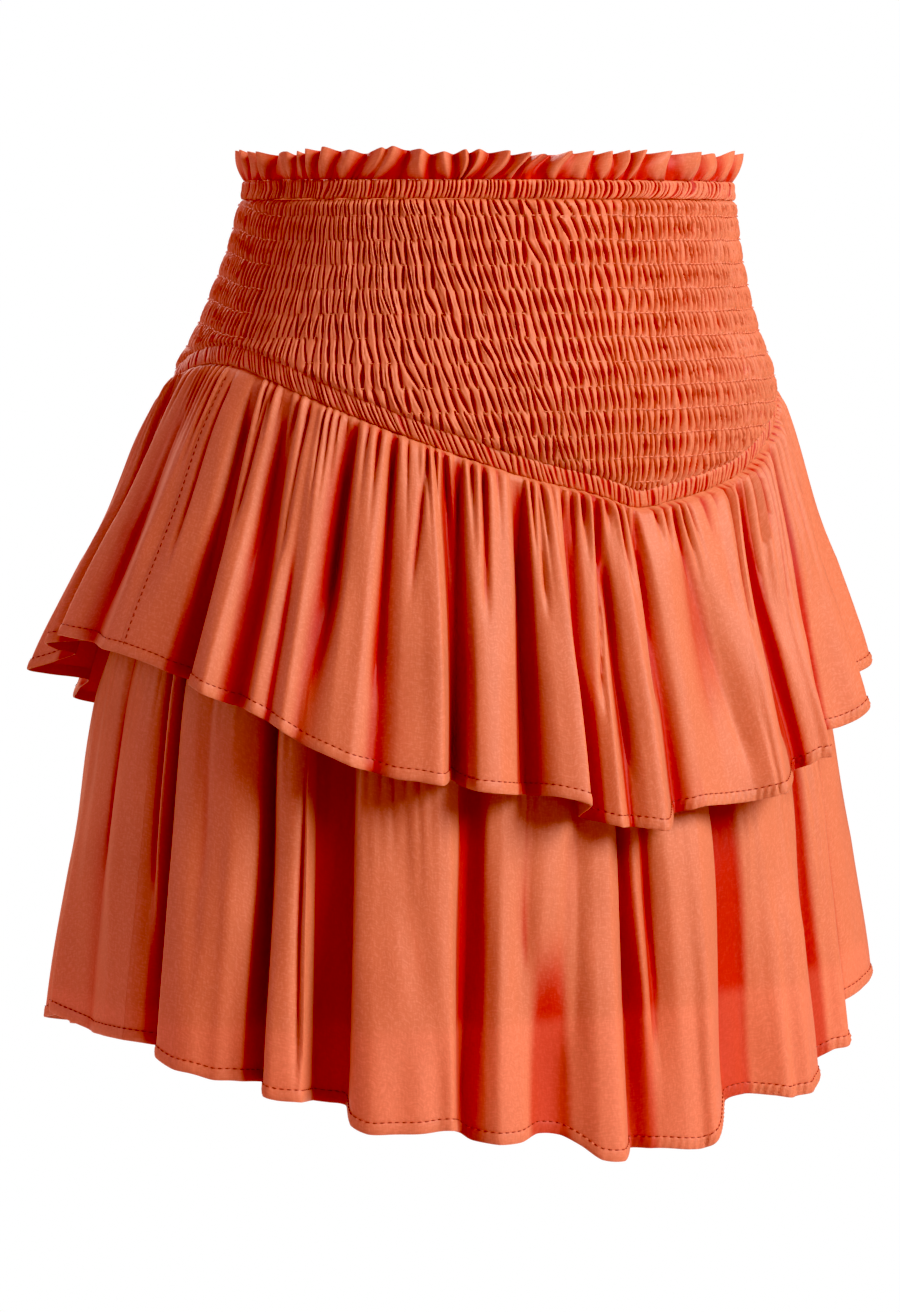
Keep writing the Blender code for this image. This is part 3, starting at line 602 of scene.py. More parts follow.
class ShaderTree:
    """Adds nodes to a material: settings first, then the values or links of its sockets."""

    def __init__(self, name):
        self.material = bpy.data.materials.new(name)
        self.material.use_nodes = True
        self.tree = self.material.node_tree
        self.tree.nodes.clear()

    def node(self, kind, output=0, settings=None, **sockets):
        """Adds a node and gives one of its outputs; an underscore stands for a space."""
        node = self.tree.nodes.new(kind)
        for key, value in (settings or {}).items():
            setattr(node, key, value)
        for key, value in sockets.items():
            plug(self.tree, node.inputs[key.replace("_", " ")], value)
        return Wire(self.tree, node.outputs[output])

    def mix(self, factor, first, second, blend="MIX"):
        """Two colours mixed by a factor."""
        node = self.tree.nodes.new("ShaderNodeMix")
        node.data_type = "RGBA"
        node.blend_type = blend
        for slot, value in ((0, factor), (6, first), (7, second)):
            plug(self.tree, node.inputs[slot], value)
        return Wire(self.tree, node.outputs[2])

    def ramp(self, value, low, high):
        """Soft step from 0 at low to 1 at high."""
        return self.node("ShaderNodeMapRange", settings={"interpolation_type": "SMOOTHSTEP"},
                         Value=value, From_Min=low, From_Max=high)

    def noise(self, vector, scale, detail=2.0):
        """Noise from 0 to 1 at a place."""
        return self.node("ShaderNodeTexNoise", Vector=vector, Scale=scale, Detail=detail)

    def stretched(self, vector, scale):
        """A place multiplied axis by axis."""
        return self.node("ShaderNodeMapping", Vector=vector, Scale=scale)

    def blend(self, factor, first, second):
        """Mix Shader between two surfaces."""
        both = self.node("ShaderNodeMixShader", Fac=factor)
        for slot, shader in ((1, first), (2, second)):
            plug(self.tree, both.socket.node.inputs[slot], shader)
        return both

    def finish(self, surface):
        """Links the surface to the output and gives the material."""
        output = self.tree.nodes.new("ShaderNodeOutputMaterial")
        plug(self.tree, output.inputs["Surface"], surface)
        return self.material


def cloth_material(name, looks, colour, painted_shade_colour, backlit_below=None):
    """Soft viscose: slubby weave, painted shade between folds, sheen, some light through, and a
    painted backlight under the lining's hem where backlit_below is given.
    """
    shader = ShaderTree(name)
    uv = shader.node("ShaderNodeUVMap", settings={"uv_map": "cloth"})
    place = shader.node("ShaderNodeTexCoord", output=3)
    slub, fine = looks.slub_length, looks.thread_pitch
    warp = shader.noise(shader.stretched(uv, (1 / fine, 1 / slub, 1.0)), 1.0)
    weft = shader.noise(shader.stretched(uv, (1 / slub, 1 / fine, 1.0)), 1.0)
    weave = (warp + weft) * 0.5

    # Painted shade: a deep colour mixed in between the folds; paler fibres of the weave, fewer
    # where the shade is painted; an uneven dye.
    cloudy = shader.noise(place, CLOUDS_PER_METRE, 3.0)
    hollow = shader.node("ShaderNodeAttribute", output=2, settings={"attribute_name": "hollow"})
    tinted = shader.mix(shader.ramp(hollow, 0.10, 0.95), (*colour, 1.0), (*painted_shade_colour, 1.0))
    shine = shader.ramp(weave, 0.47, 0.62) * looks.fibre_shine * (hollow * -0.8 + 1.0)
    tinted = shader.mix(shine, tinted, (*looks.fibre_colour, 1.0))
    contrast = looks.weave_contrast
    grain = (weave - 0.5) * (2.0 * contrast) + (cloudy - 0.5) * CLOUDINESS + 1.0
    # Painted light: below the lining's hem the single layer is painted paler, as if lit from
    # behind, and its weave shows more.
    if backlit_below is not None:
        height = shader.node("ShaderNodeSeparateXYZ", output=2, Vector=place)
        low = shader.ramp(height, -backlit_below + 0.0020, -backlit_below - 0.0060)
        backlight = low * looks.painted_backlight
        tinted = shader.mix(backlight * (hollow * -0.5 + 1.0), tinted, (*looks.backlit_colour, 1.0))
        grain = grain + (weave - 0.5) * backlight * (2.6 * contrast)
    shade = shader.node("ShaderNodeCombineColor", Red=grain, Green=grain, Blue=grain)
    colour_out = shader.mix(1.0, tinted, shade, "MULTIPLY")

    # Relief: soft creases, and the weave on top of them.
    crumple = shader.noise(shader.stretched(uv, CRUMPLES_PER_METRE), 1.0, 3.0)
    soft = shader.node("ShaderNodeBump", Height=crumple, Distance=looks.crumple_depth,
                       Strength=0.6)
    woven = shader.node("ShaderNodeBump", Height=weave, Distance=WEAVE_DEPTH, Strength=0.5,
                        Normal=soft)
    surface = shader.node(
        "ShaderNodeBsdfPrincipled", Base_Color=colour_out, Normal=woven,
        Roughness=(weave - 0.5) * 0.12 + looks.roughness,
        Sheen_Weight=looks.sheen, Sheen_Roughness=0.45,
        Sheen_Tint=SHEEN_TINT, Specular_IOR_Level=0.45,
    )
    through = shader.node("ShaderNodeBsdfTranslucent", Color=(*looks.through_colour, 1.0),
                          Normal=soft)
    return shader.finish(shader.blend(looks.translucency, surface, through))


def thread_material(name, colour):
    """Twisted sewing thread: a soft sheen and darker turns."""
    shader = ShaderTree(name)
    place = shader.node("ShaderNodeTexCoord", output=3)
    turns = shader.noise(place, TURNS_PER_METRE, 1.0)
    darker = tuple(channel * 0.72 for channel in colour)
    shaded = shader.mix(shader.ramp(turns, 0.3, 0.7), (*darker, 1.0), (*colour, 1.0))
    return shader.finish(shader.node("ShaderNodeBsdfPrincipled", Base_Color=shaded,
                                     Roughness=0.6))


def material_named(name):
    """The skirt's materials, each made when it is first asked for."""
    found = bpy.data.materials.get(name)
    if found:
        return found
    looks = bpy.context.scene.skirt_cloth
    threads = {"hem_thread": looks.hem_thread_colour, "elastic_thread": looks.row_thread_colour}
    if name in threads:
        return thread_material(name, tuple(threads[name]))
    colour = looks.lining_colour if name == "plain_cloth" else looks.colour
    # The sheer cloth gets a painted backlight below the lining's hem.
    backlit_below = LINING_HEM_DEPTH if name == "sheer_cloth" else None
    return cloth_material(name, looks, colour, looks.painted_shade_colour, backlit_below)


# ---- Tiers ----------------------------------------------------------------------------
def line_loop(front, back):
    """Both tables of fold lines as one closed loop, from the right seam round."""
    behind = np.array(back[:-1])
    behind[:, :2] += 360.0
    loop = np.concatenate((np.array(front[:-1]), behind))
    loop[:, 2:] *= MM
    return loop


def loop_at(loop, place, turning=2, crispness=FOLD_CRISPNESS):
    """Row of a loop at fractional places; the first columns are angles.

    Crispness 0 follows the rows in a smooth curve, 1 bends sharply at each row.
    """
    place = np.asarray(place, float)
    index = np.floor(place).astype(int)
    way = (place - index)[..., None]

    def row(step):
        turns, position = np.divmod(index + step, len(loop))
        values = loop[position].copy()
        values[..., :turning] += 360.0 * turns[..., None]
        return values

    a, b, c, d = (row(step) for step in (-1, 0, 1, 2))
    curved = 0.5 * (2 * b + (c - a) * way + (2 * a - 5 * b + 4 * c - d) * way**2
                    + (3 * b - a - 3 * c + d) * way**3)
    return curved + crispness * (b + (c - b) * way - curved)


@dataclass
class Tier:
    """Outer surface of one gathered tier, all round.

    front and back are tables of fold lines, seam_depth and seat_out give the seam's depth
    and what it is sewn to, puff tells how soon the flare opens, depth_gain how much deeper
    the hollows are near the seam, and gather_share how high the small gathers are.
    """

    front: tuple
    back: tuple
    creases: tuple
    hem_ellipse: tuple
    seam_depth: object
    seat_out: object
    puff: float
    depth_gain: float
    gathers: object
    gather_share: float
    columns: int
    seed: int

    def __post_init__(self):
        self.loop = line_loop(self.front, self.back)
        self.front_rows = len(self.front) - 1

    def points(self, place, way):
        """Points at places along the loop and shares of the way down, broadcast together."""
        place, way = np.broadcast_arrays(place, way)
        rows = loop_at(self.loop, place)
        seam_deg, hem_deg, middle, hem_out, hem_depth = np.moveaxis(rows, -1, 0)
        angle_deg = seam_deg + (hem_deg - seam_deg) * (1.0 - (1.0 - way) ** 2)

        # Mean form: from the seam out to the hem's ellipse.
        top_depth = self.seam_depth(seam_deg) - SEAM_OVERLAP
        top = form_points(angle_deg, top_depth, lining_out(top_depth) + SEAT_CLEARANCE)
        angle = np.radians(angle_deg)
        outward = np.stack((np.cos(angle), np.sin(angle), np.zeros_like(angle)), axis=-1)
        hem = np.stack((
            self.hem_ellipse[0] * outward[..., 0],
            HEM_SHIFT + self.hem_ellipse[1] * outward[..., 1],
            top[..., 2],
        ), axis=-1)
        flare = (1.0 - self.puff) * way + self.puff * (1.0 - (1.0 - way) ** PUFF_POWER)

        # Folds: hollows open soon under the seam, ridges grow more slowly.
        fold = middle + (hem_out - middle) * smooth((way - 0.4) / 0.6)
        hollow_grown = 1.0 - (1.0 - np.clip(way / HOLLOWS_GROWN_BY, 0.0, 1.0)) ** 2
        hollow_grown = hollow_grown * (1.0 + (self.depth_gain - 1.0) * (1.0 - way))
        ridge_grown = np.clip(way / RIDGES_GROWN_BY, 0.0, 1.0) ** 1.25
        ridge_grown = ridge_grown + STARTING_RIDGE * smooth(way / 0.05) * (1.0 - ridge_grown)
        fold = np.minimum(fold, 0.0) * hollow_grown + np.maximum(fold, 0.0) * ridge_grown

        # The tucked edge turns out from under the band, then the gathers and creases begin.
        risen = smooth(way / TURNED_OUT_BY)
        tucked = EDGE_TUCK + lining_out(top_depth) - self.seat_out(top_depth)
        out = fold + self.gather_height(seam_deg, way) * risen - tucked * (1.0 - risen)
        out = out + self.crease_height(angle_deg, way) * risen
        room = np.linalg.norm(hem - top, axis=-1) * flare  # no hollow is deeper than this
        out = np.maximum(out, -DEEPEST_SHARE * room - 0.4 * MM - tucked * (1.0 - risen))
        points = top + (hem - top) * flare[..., None] + outward * out[..., None]
        depth = top_depth + (hem_depth - top_depth) * way
        points[..., 2] = -depth

        # The deepest hollows lie on the lining.
        clear = lining_out(depth) + LINING_CLEARANCE + lining_sway(depth)
        under = form_points(angle_deg, depth, clear)
        short = np.maximum(((under - points) * outward).sum(axis=-1), 0.0) * smooth(way / 0.03)
        return points + outward * short[..., None], out + short

    def crease_height(self, angle_deg, way):
        """Sharp single creases pressed into the folds, each from and to its own height."""
        height = np.zeros_like(angle_deg)
        for top_deg, low_deg, start, end, depth, half_width in self.creases:
            centre = top_deg + (low_deg - top_deg) * (way - start) / (end - start)
            aside = np.abs(np.mod(angle_deg - centre + 180.0, 360.0) - 180.0) / half_width
            fade = smooth((way - start + 0.06) / 0.10) * smooth((end + 0.10 - way) / 0.16)
            height -= depth * MM * np.exp(-aside**1.4) * fade
        return height

    def gather_height(self, seam_deg, way):
        """Small gathers from the seam, each with its own height and length, and soft waves."""
        settings = self.gathers
        phase = seam_deg * settings.count / 360.0 + 0.80 * level_noise(seam_deg, 60, self.seed)
        fuller = stretch(seam_deg, *FULLER_STRETCH)
        strength = 0.80 + 0.45 * fuller + 0.90 * level_noise(seam_deg, 132, self.seed + 1)
        length = settings.length * (1.0 + 0.85 * level_noise(seam_deg, 130, self.seed + 2))
        length = length * (1.0 + 0.8 * fuller)
        ridge = np.abs(np.cos(math.pi * phase)) ** 0.7 - 0.68
        strength = strength * (1.0 - stretch(seam_deg, *PLAIN_STRETCH))
        grown = 0.84 + 0.16 * smooth(way / 0.06)
        faded = (1.0 - np.clip((way - 0.02) / length, 0.0, 1.0)) ** 1.8
        waves = ring_noise(seam_deg, way * 2.2, 48, self.seed + 3) * 1.5 * MM
        waves = waves + ring_noise(seam_deg, way * 3.2, 120, self.seed + 4) * (
            0.9 + 0.7 * fuller) * MM
        return (settings.height * self.gather_share * strength * ridge * grown * faded
                + waves * smooth(way / 0.25))

    def panel_places(self, side, count):
        """Places of a panel's columns, evenly spaced along the folded hem."""
        first, last = (0, self.front_rows) if side == "front" else (
            self.front_rows, len(self.loop))
        dense = np.linspace(first, last, 6000)
        run = arc_lengths(self.points(dense, np.array(0.9))[0])
        spaced = np.linspace(SEAM_HALF_GAP, run[-1] - SEAM_HALF_GAP, count)
        return np.interp(spaced, run, dense)


def hollows(out, reach, depth):
    """How deep each point lies under the cloth on both sides of it, as a share of depth."""
    padded = np.pad(out, ((reach, reach), (0, 0)), mode="edge")
    before, after = (
        np.max([padded[k:k + len(out)] for k in range(first, first + reach + 1)], axis=0)
        for first in (0, reach)
    )
    return np.clip((np.minimum(before, after) - out) / depth, 0.0, 1.0)


def painted_fold_shade(out, columns):
    """Painted shade between wide folds and, stronger, between narrow ones."""
    wide = hollows(out, columns // 26, 6.0 * MM) * 0.96
    narrow = hollows(out, columns // 110, 2.4 * MM)
    return np.maximum(wide, narrow)


def tier_ways(count):
    """Shares of the way down of a tier's rows, closer together near the seam."""
    even = np.linspace(0.0, 1.0, count)
    return 0.60 * even + 0.40 * even**2


def side_seam_lines(outer):
    """Lines just off the cloth beside both side seams, from under the band to the hem."""
    proud = (outer + grid_normals(outer) * STITCH_STAND_OFF)[:, 3:-1]
    return [proud[2], proud[-3]]


def make_tier(tier, name, material, settings, rests_on):
    """Front and back cloth of a tier, each with its turned hem and its line of stitches."""
    for side, start_deg, end_deg in PANELS:
        node = name + "_" + side
        places = tier.panel_places(side, tier.columns)
        ways = tier_ways(settings.tier_rows)
        outer, out = tier.points(places[:, None], ways[None, :])
        inner = inner_side(outer, settings.cloth_thickness)
        inner[..., 2] = np.minimum(inner[..., 2], outer[:, :1, 2])
        # Painted shade between the folds.
        hollow = painted_fold_shade(out, tier.columns)
        panel = cloth_shell(node + "_cloth", outer, inner, hollow, material)
        hem = make_hem(tier, side, name, material, settings)
        if node == "upper_tier_front":
            sew_cloth(name + "_seam_stitches", side_seam_lines(outer), settings)
        width, height = FLAT_CUTS[name]
        width = width * ((end_deg - start_deg) / 360.0)
        dress(panel, node, "skirt_cloth", (width, height), "gathered", rests_on=rests_on,
              with_pieces=[hem])


# Rings of a hem: share of the way from its stitches to its fold, height off the cloth.
HEM_PROFILE = ((0.0, 0.00018), (0.08, 0.00032), (0.34, 0.00046), (0.66, 0.00052),
               (0.92, 0.00046), (1.0, 0.00022))
HEM_PROBE = 0.06            # share of the tier over which its length down is measured
HEM_WALL = 0.0005
HEM_DROP = 0.0003           # the hem hangs this far below the cloth's own edge
STITCH_STAND_OFF = 0.00022
HEM_STITCH_STAND_OFF = 0.00034


def make_hem(tier, side, name, material, settings):
    """Turned hem of a tier: a thin puckered strip over the cloth's lower edge."""
    places = tier.panel_places(side, settings.hem_columns)
    edge = tier.points(places, np.array(1.0))[0]
    above, fold = tier.points(places, np.array(1.0 - HEM_PROBE))
    lengths = np.linalg.norm(edge - above, axis=1) / HEM_PROBE
    run = arc_lengths(edge)
    turned = np.degrees(np.arctan2(edge[:, 1] - HEM_SHIFT, edge[:, 0]))
    pucker = 0.30 + 0.30 * level_noise(turned, 64, tier.seed + 9) + 1.3 * between(
        in_turn(turned), *PULLED_BY_DEG)
    rings, puffs = [], []
    for share, height in HEM_PROFILE:
        way = 1.0 - HEM_WIDTH / lengths * (1.0 - share)
        rope = np.cos(2.0 * math.pi * (run / settings.rope_pitch + share * 0.9))
        rings.append(tier.points(places, way)[0])
        puffs.append(height + settings.rope_height * rope * pucker * math.sin(math.pi * share))
    rings = np.stack(rings, axis=1)
    normals = grid_normals(rings)
    outer = rings + normals * np.stack(puffs, axis=1)[..., None]
    inner = rings[:, ::5] - normals[:, ::5] * HEM_WALL
    outer[:, -1, 2] -= HEM_DROP
    inner[:, -1, 2] -= HEM_DROP
    # Painted shade: the hem takes the painted shade of the folds above it, and more along its
    # stitched upper edge.
    hollow = painted_fold_shade(fold[:, None], settings.hem_columns) + np.zeros(len(HEM_PROFILE))
    hollow[:, 0] = np.maximum(hollow[:, 0], 0.55)
    hem = cloth_shell(name + "_hem_" + side, outer, inner, hollow, material)
    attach(hem, "root")
    line = rings[:, 0] + normals[:, 0] * HEM_STITCH_STAND_OFF
    sew_cloth(name + "_hem_stitches_" + side, [line], settings)
    return hem


# ---- Stitches -------------------------------------------------------------------------
def stitch_tree():
    """Node tree that lays dashes of thread along each line of a mesh."""
    tree = bpy.data.node_groups.get("Stitches along a line")
    if tree:
        return tree
    tree = bpy.data.node_groups.new("Stitches along a line", "GeometryNodeTree")
    sockets = (
        ("Line", "NodeSocketGeometry"), ("Pitch", "NodeSocketFloat"),
        ("Length", "NodeSocketFloat"), ("Radius", "NodeSocketFloat"),
        ("Thread", "NodeSocketMaterial"),
    )
    for socket_name, kind in sockets:
        tree.interface.new_socket(socket_name, in_out="INPUT", socket_type=kind)
    tree.interface.new_socket("Stitches", in_out="OUTPUT", socket_type="NodeSocketGeometry")

    def add(kind, links=(), **values):
        """Adds a node with its settings or input values, and its links."""
        node = tree.nodes.new(kind)
        for key, value in values.items():
            if hasattr(node, key):
                setattr(node, key, value)
            else:
                node.inputs[key.replace("_", " ")].default_value = value
        for slot, source in links:
            tree.links.new(source, node.inputs[slot])
        return node

    given = add("NodeGroupInput")
    curve = add("GeometryNodeMeshToCurve", [("Mesh", given.outputs["Line"])])
    spaced = add("GeometryNodeResampleCurve",
                 [("Curve", curve.outputs[0]), ("Length", given.outputs["Pitch"])],
                 mode="LENGTH")
    tangent = add("GeometryNodeInputTangent")
    turned = add("FunctionNodeAlignRotationToVector", [("Vector", tangent.outputs[0])],
                 axis="X")
    dash = add("GeometryNodeMeshUVSphere", Segments=5, Rings=3, Radius=1.0)
    size = add("ShaderNodeCombineXYZ", [("X", given.outputs["Length"]),
                                        ("Y", given.outputs["Radius"]),
                                        ("Z", given.outputs["Radius"])])
    placed = add("GeometryNodeInstanceOnPoints", [
        ("Points", spaced.outputs[0]), ("Instance", dash.outputs["Mesh"]),
        ("Rotation", turned.outputs[0]), ("Scale", size.outputs[0]),
    ])
    real = add("GeometryNodeRealizeInstances", [("Geometry", placed.outputs[0])])
    painted = add("GeometryNodeSetMaterial", [("Geometry", real.outputs[0]),
                                              ("Material", given.outputs["Thread"])])
    add("NodeGroupOutput", [("Stitches", painted.outputs[0])])
    return tree


def sew(name, lines, thread, pitch, length, radius):
    """Stitches along lines of points, made by the node tree and kept as a plain mesh."""
    points = np.concatenate(lines)
    edges, start = [], 0
    for line in lines:
        edges += [(start + k, start + k + 1) for k in range(len(line) - 1)]
        start += len(line)
    mesh = bpy.data.meshes.new(name + "_line")
    mesh.from_pydata(points.tolist(), edges, [])
    piece = bpy.data.objects.new(name, mesh)
    bpy.context.scene.collection.objects.link(piece)
    modifier = piece.modifiers.new("Stitches", "NODES")
    tree = stitch_tree()
    modifier.node_group = tree
    values = {"Pitch": pitch, "Length": length / 2, "Radius": radius,
              "Thread": material_named(thread)}
    for socket in tree.interface.items_tree:
        if socket.name in values:
            modifier[socket.identifier] = values[socket.name]
    graph = bpy.context.evaluated_depsgraph_get()
    made = bpy.data.meshes.new_from_object(piece.evaluated_get(graph))
    piece.modifiers.clear()
    piece.data = made
    piece.data.shade_smooth()
    bpy.data.meshes.remove(mesh)
    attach(piece, "root")


def sew_cloth(name, lines, settings):
    """Stitches of a tier's seams and hems."""
    sew(name, lines, "hem_thread", settings.stitch_pitch, settings.stitch_length,
        settings.thread_radius)


# ---- Yoke -----------------------------------------------------------------------------
def row_offset(angle_deg):
    """How much an elastic row rises on the back panel, away from the right side seam."""
    from_seam = RIGHT_SEAM_DEG - in_turn(angle_deg)
    return -ROW_RISE * smooth(from_seam / ROW_RISE_DEG) * (from_seam > 0.0)


def row_pinch(angle_deg):
    """How hard the elastic rows pinch the ribs, from 0 to 1, round the body."""
    turned = in_turn(angle_deg)
    right = between(turned, *PULLED_BY_DEG)
    behind = 1.0 - between(turned, 184.0, 188.0)
    return 0.22 + 0.78 * np.maximum(right, behind)


def rib_lean(angle_deg):
    """Degrees that the ribs drift round for each metre down."""
    turned = in_turn(angle_deg)
    front = FRONT_LEAN * stretch(turned, *LEANING_STRETCH)
    behind = BACK_LEAN * np.sin(np.radians(turned * 2.0)) * (
        1.0 - between(turned, 150.0, RIGHT_SEAM_DEG))
    return front + behind * (turned < RIGHT_SEAM_DEG)


def smocked_height(angle_deg, depth, settings):
    """Relief of the smocked ribs and the pockets between them, and the shade painted into the
    pockets, each as shares from 0 to 1.
    """
    # Which row of elastic lies above, how far down to the next, how hard both pull.
    top = CASING_HEIGHT / 2
    fallen = depth - row_offset(angle_deg)
    row = np.where(fallen > FIRST_ROW_DEPTH, (fallen - FIRST_ROW_DEPTH) / ROW_PITCH,
                   (fallen - top) / (FIRST_ROW_DEPTH - top) - 1.0)
    index = np.floor(row)
    way = row - index
    hold = row_pinch(angle_deg)
    pinch = np.exp(-((np.minimum(way, 1.0 - way) / 0.12) ** 2)) * hold
    belly = np.sin(math.pi * way)

    # Which rib: the ribs drift along the V, wander, and jump a little at each row.
    shift = rib_lean(angle_deg) * (depth - LEAN_PIVOT_DEPTH)
    place = settings.rib_count * (angle_deg - shift) / 360.0
    place = place + 0.04 * np.clip(angle_deg - 250.0, 0.0, 30.0)
    for strength, down, cells, seed in (
            (0.32, row * 0.3, 44, 3), (0.15, row, 130, 6), (0.44, index + 0.5, 64, 8)):
        place = place + strength * ring_noise(angle_deg - shift, down, cells, YOKE_SEED + seed)

    # Each pocket between two ribs has its own slant, width, fullness and depth.
    pocket = np.round(place)
    tilt, width, fullness, depths = (
        cell_noise(pocket, index, settings.rib_count, YOKE_SEED + seed)
        for seed in (1, 2, 4, 5)
    )
    aside = np.abs(place - pocket - 0.56 * tilt * (way - 0.5))
    away = between(in_turn(angle_deg), 266.0, 286.0) * hold
    opening = 0.105 - 0.025 * hold + (0.09 + 0.105 * hold + 0.07 * away + 0.08 * width) * belly
    open_share = np.clip(1.0 - aside / opening, 0.0, 1.0)

    # The ribs' round backs, less the pockets and a fine crease along each back.
    crown = 1.0 - (0.20 + 0.30 * hold) * (1.0 - 2.0 * aside) ** 2
    crease = np.exp(-(((0.5 - aside) / 0.09) ** 2)) * (0.45 + 0.55 * fullness) * belly
    deep = 0.84 + 0.16 * depths
    cut = open_share**0.55 * (0.70 + 0.30 * belly) * deep
    relief = crown * (1.0 - cut) * (0.90 + 0.10 * fullness) - 0.26 * crease
    relief = relief * (0.86 + 0.14 * belly) * (1.0 - 0.28 * pinch) + 0.08 * pinch
    # Painted shade: dark in the pockets and along the crease on each rib's back, deepest at mid
    # row.
    painted_pocket_shade = np.maximum(2.9 * open_share * deep, 0.50 * crease)
    return relief, np.clip(painted_pocket_shade, 0.0, 1.0) * (0.5 + 0.5 * belly)


def make_yoke(settings):
    """Smocked yoke: two panels of ribs between the casing and the yoke band."""
    top = CASING_HEIGHT / 2 + 0.0002
    for side, start_deg, end_deg in PANELS:
        angles = seam_angles(start_deg, end_deg, settings.yoke_columns)
        ends = round_seam(np.ones((len(angles), 1)), angles, start_deg, end_deg, 6.0)
        ways = np.linspace(0.0, 1.0, settings.yoke_rows)
        turned = angles[:, None] + np.zeros_like(ways)
        # The V's depth hangs on the angle and the ribs' drift on the depth: four rounds
        # settle both.
        for _ in range(4):
            bottom = band_top_depth(turned) + SEAM_OVERLAP
            depth = top + (bottom - top) * ways
            turned = angles[:, None] + ends * rib_lean(angles)[:, None] * (
                depth - LEAN_PIVOT_DEPTH)
        relief, hollow = smocked_height(turned, depth, settings)
        relief = round_seam(relief, angles, start_deg, end_deg, 0.5)
        tucked = np.minimum(between(depth, top - SEAM_OVERLAP, top + 2.2 * MM),
                            1.0 - between(depth, bottom - RIB_FADE, bottom))
        height = RIB_FOOT + settings.rib_height * relief * (0.42 + 0.58 * tucked)
        outer = form_points(turned, depth, height)
        across = np.round(np.linspace(0, settings.yoke_rows - 1, 5)).astype(int)
        inner = form_points(turned[:, across], depth[:, across], 0.0)
        node = "yoke_" + side
        panel = cloth_shell(node + "_cloth", outer, inner, hollow, "gathered_cloth")
        dress(panel, node, "skirt_cloth", FLAT_CUTS[node], "gathered", area=YOKE_AREAS[side],
              rests_on=["waist_casing_" + side])
        lines = [elastic_line(row, angles, settings) for row in range(ROW_COUNT)]
        sew(node + "_elastic_rows", [line for line in lines if len(line) > 4],
            "elastic_thread", settings.row_stitch_pitch, settings.row_stitch_length,
            settings.row_thread_radius)


def elastic_line(row, angles, settings):
    """The stretch of one elastic row that shows on a panel, laid on the pinched ribs."""
    depth = FIRST_ROW_DEPTH + ROW_PITCH * row + row_offset(angles)
    seen = depth < band_top_depth(angles) - RIB_FADE
    relief, _ = smocked_height(angles, depth, settings)
    hold = row_pinch(angles)
    shown = between(hold, 0.3, 0.9)
    height = RIB_FOOT + settings.rib_height * (
        0.80 * shown + (1.0 - shown) * (relief - 0.05))
    depth = depth + 0.25 * MM * np.sin(angles * 9.7)
    depth = depth + 0.3 * MM * level_noise(angles, 90, YOKE_SEED + 7)
    points = form_points(angles, depth, height)
    run = np.flatnonzero(seen)
    if len(run) == 0:
        return points[:0]
    stretches = np.split(run, np.flatnonzero(np.diff(run) > 1) + 1)
    return points[max(stretches, key=len)][::4]


# ---- Bands and frill ------------------------------------------------------------------
def make_band(name, settings, walls, count, top_depth, height, lean, curve, seed):
    """Gathered elastic band: a barrel of fine uneven gathers between two sewn edges.

    walls are how far it stands off the body form between and on its gathers, lean and
    curve the degrees by which a gather slants and bows.
    """
    low, high = walls
    for side, start_deg, end_deg in PANELS:
        angles = seam_angles(start_deg, end_deg, settings.band_columns)
        ways = 0.5 - 0.5 * np.cos(np.linspace(0.0, math.pi, settings.band_rows))

        # Gathers slant and bow, but stay straight at the side seams.
        drift = lean(angles)[:, None] * (ways - 0.5) - curve * row_pinch(angles)[:, None] * (
            1.0 - (2.0 * ways - 1.0) ** 2)
        ends = round_seam(np.ones((len(angles), 1)), angles, start_deg, end_deg, 5.0)
        turned = angles[:, None] - drift * ends
        uneven = level_noise(turned, 110, seed + 6)
        depth = top_depth(turned) + height * ways + 0.6 * MM * uneven * ways**3

        # Which gather: they are unevenly wide, and each notch beside one has its own
        # width, middle and reach.
        warp = (0.26 * ring_noise(angles[:, None], ways * 1.1, count, seed)
                + 0.58 * ring_noise(angles[:, None], ways * 0.4, count // 3, seed + 7)
                + 0.80 * level_noise(angles[:, None], 52, seed + 1))
        phase = count * angles[:, None] / 360.0 + warp
        notch = np.round(phase)
        aside = np.abs(phase - notch)
        opening = 0.25 + 0.12 * cell_noise(notch, 0, count, seed + 3)
        puff = cell_noise(np.floor(phase), 0, count, seed + 4)
        middle = 0.5 + 0.24 * cell_noise(notch, 0, count, seed + 5)
        reach = np.clip(1.35 - 2.0 * np.abs(ways - middle), 0.0, 1.0)
        open_share = np.clip(1.0 - aside / opening, 0.0, 1.0) * reach

        # Round gathers over a barrel between the two sewn edges.
        gather = (1.0 - 0.35 * (1.0 - 2.0 * aside) ** 2) * (1.0 - 0.90 * open_share)
        gather *= 0.76 + 0.30 * puff + 0.26 * ring_noise(turned, ways, 160, seed + 2)
        barrel = np.sqrt(np.clip(1.0 - (2.0 * ways - 1.0) ** 4, 0.0, 1.0))
        out = low * (0.60 + 0.40 * barrel) + (high - low) * gather * (0.50 + 0.50 * barrel)
        outer = form_points(turned, depth, out)
        inner = form_points(turned[:, [0, -1]], depth[:, [0, -1]], 0.0)
        # Painted shade in the notches beside the gathers, darker where the rows pull hard.
        hollow = open_share * (2.4 + 0.8 * row_pinch(turned)) * (0.35 + 0.65 * barrel)
        node = name + "_" + side
        panel = cloth_shell(node + "_cloth", outer, inner, np.clip(hollow, 0.0, 1.0),
                            "gathered_cloth")
        dress(panel, node, "skirt_cloth", FLAT_CUTS[name], "gathered",
              rests_on=["yoke_" + side])


def casing_lean(angle_deg):
    """The casing's gathers slant more at the left front."""
    return 0.6 + 1.8 * between(in_turn(angle_deg), 262.0, 285.0)


def band_lean(angle_deg):
    """The band's gathers lean along the V, each way from the centre."""
    return 3.0 * np.cos(np.radians(angle_deg)) - 0.4


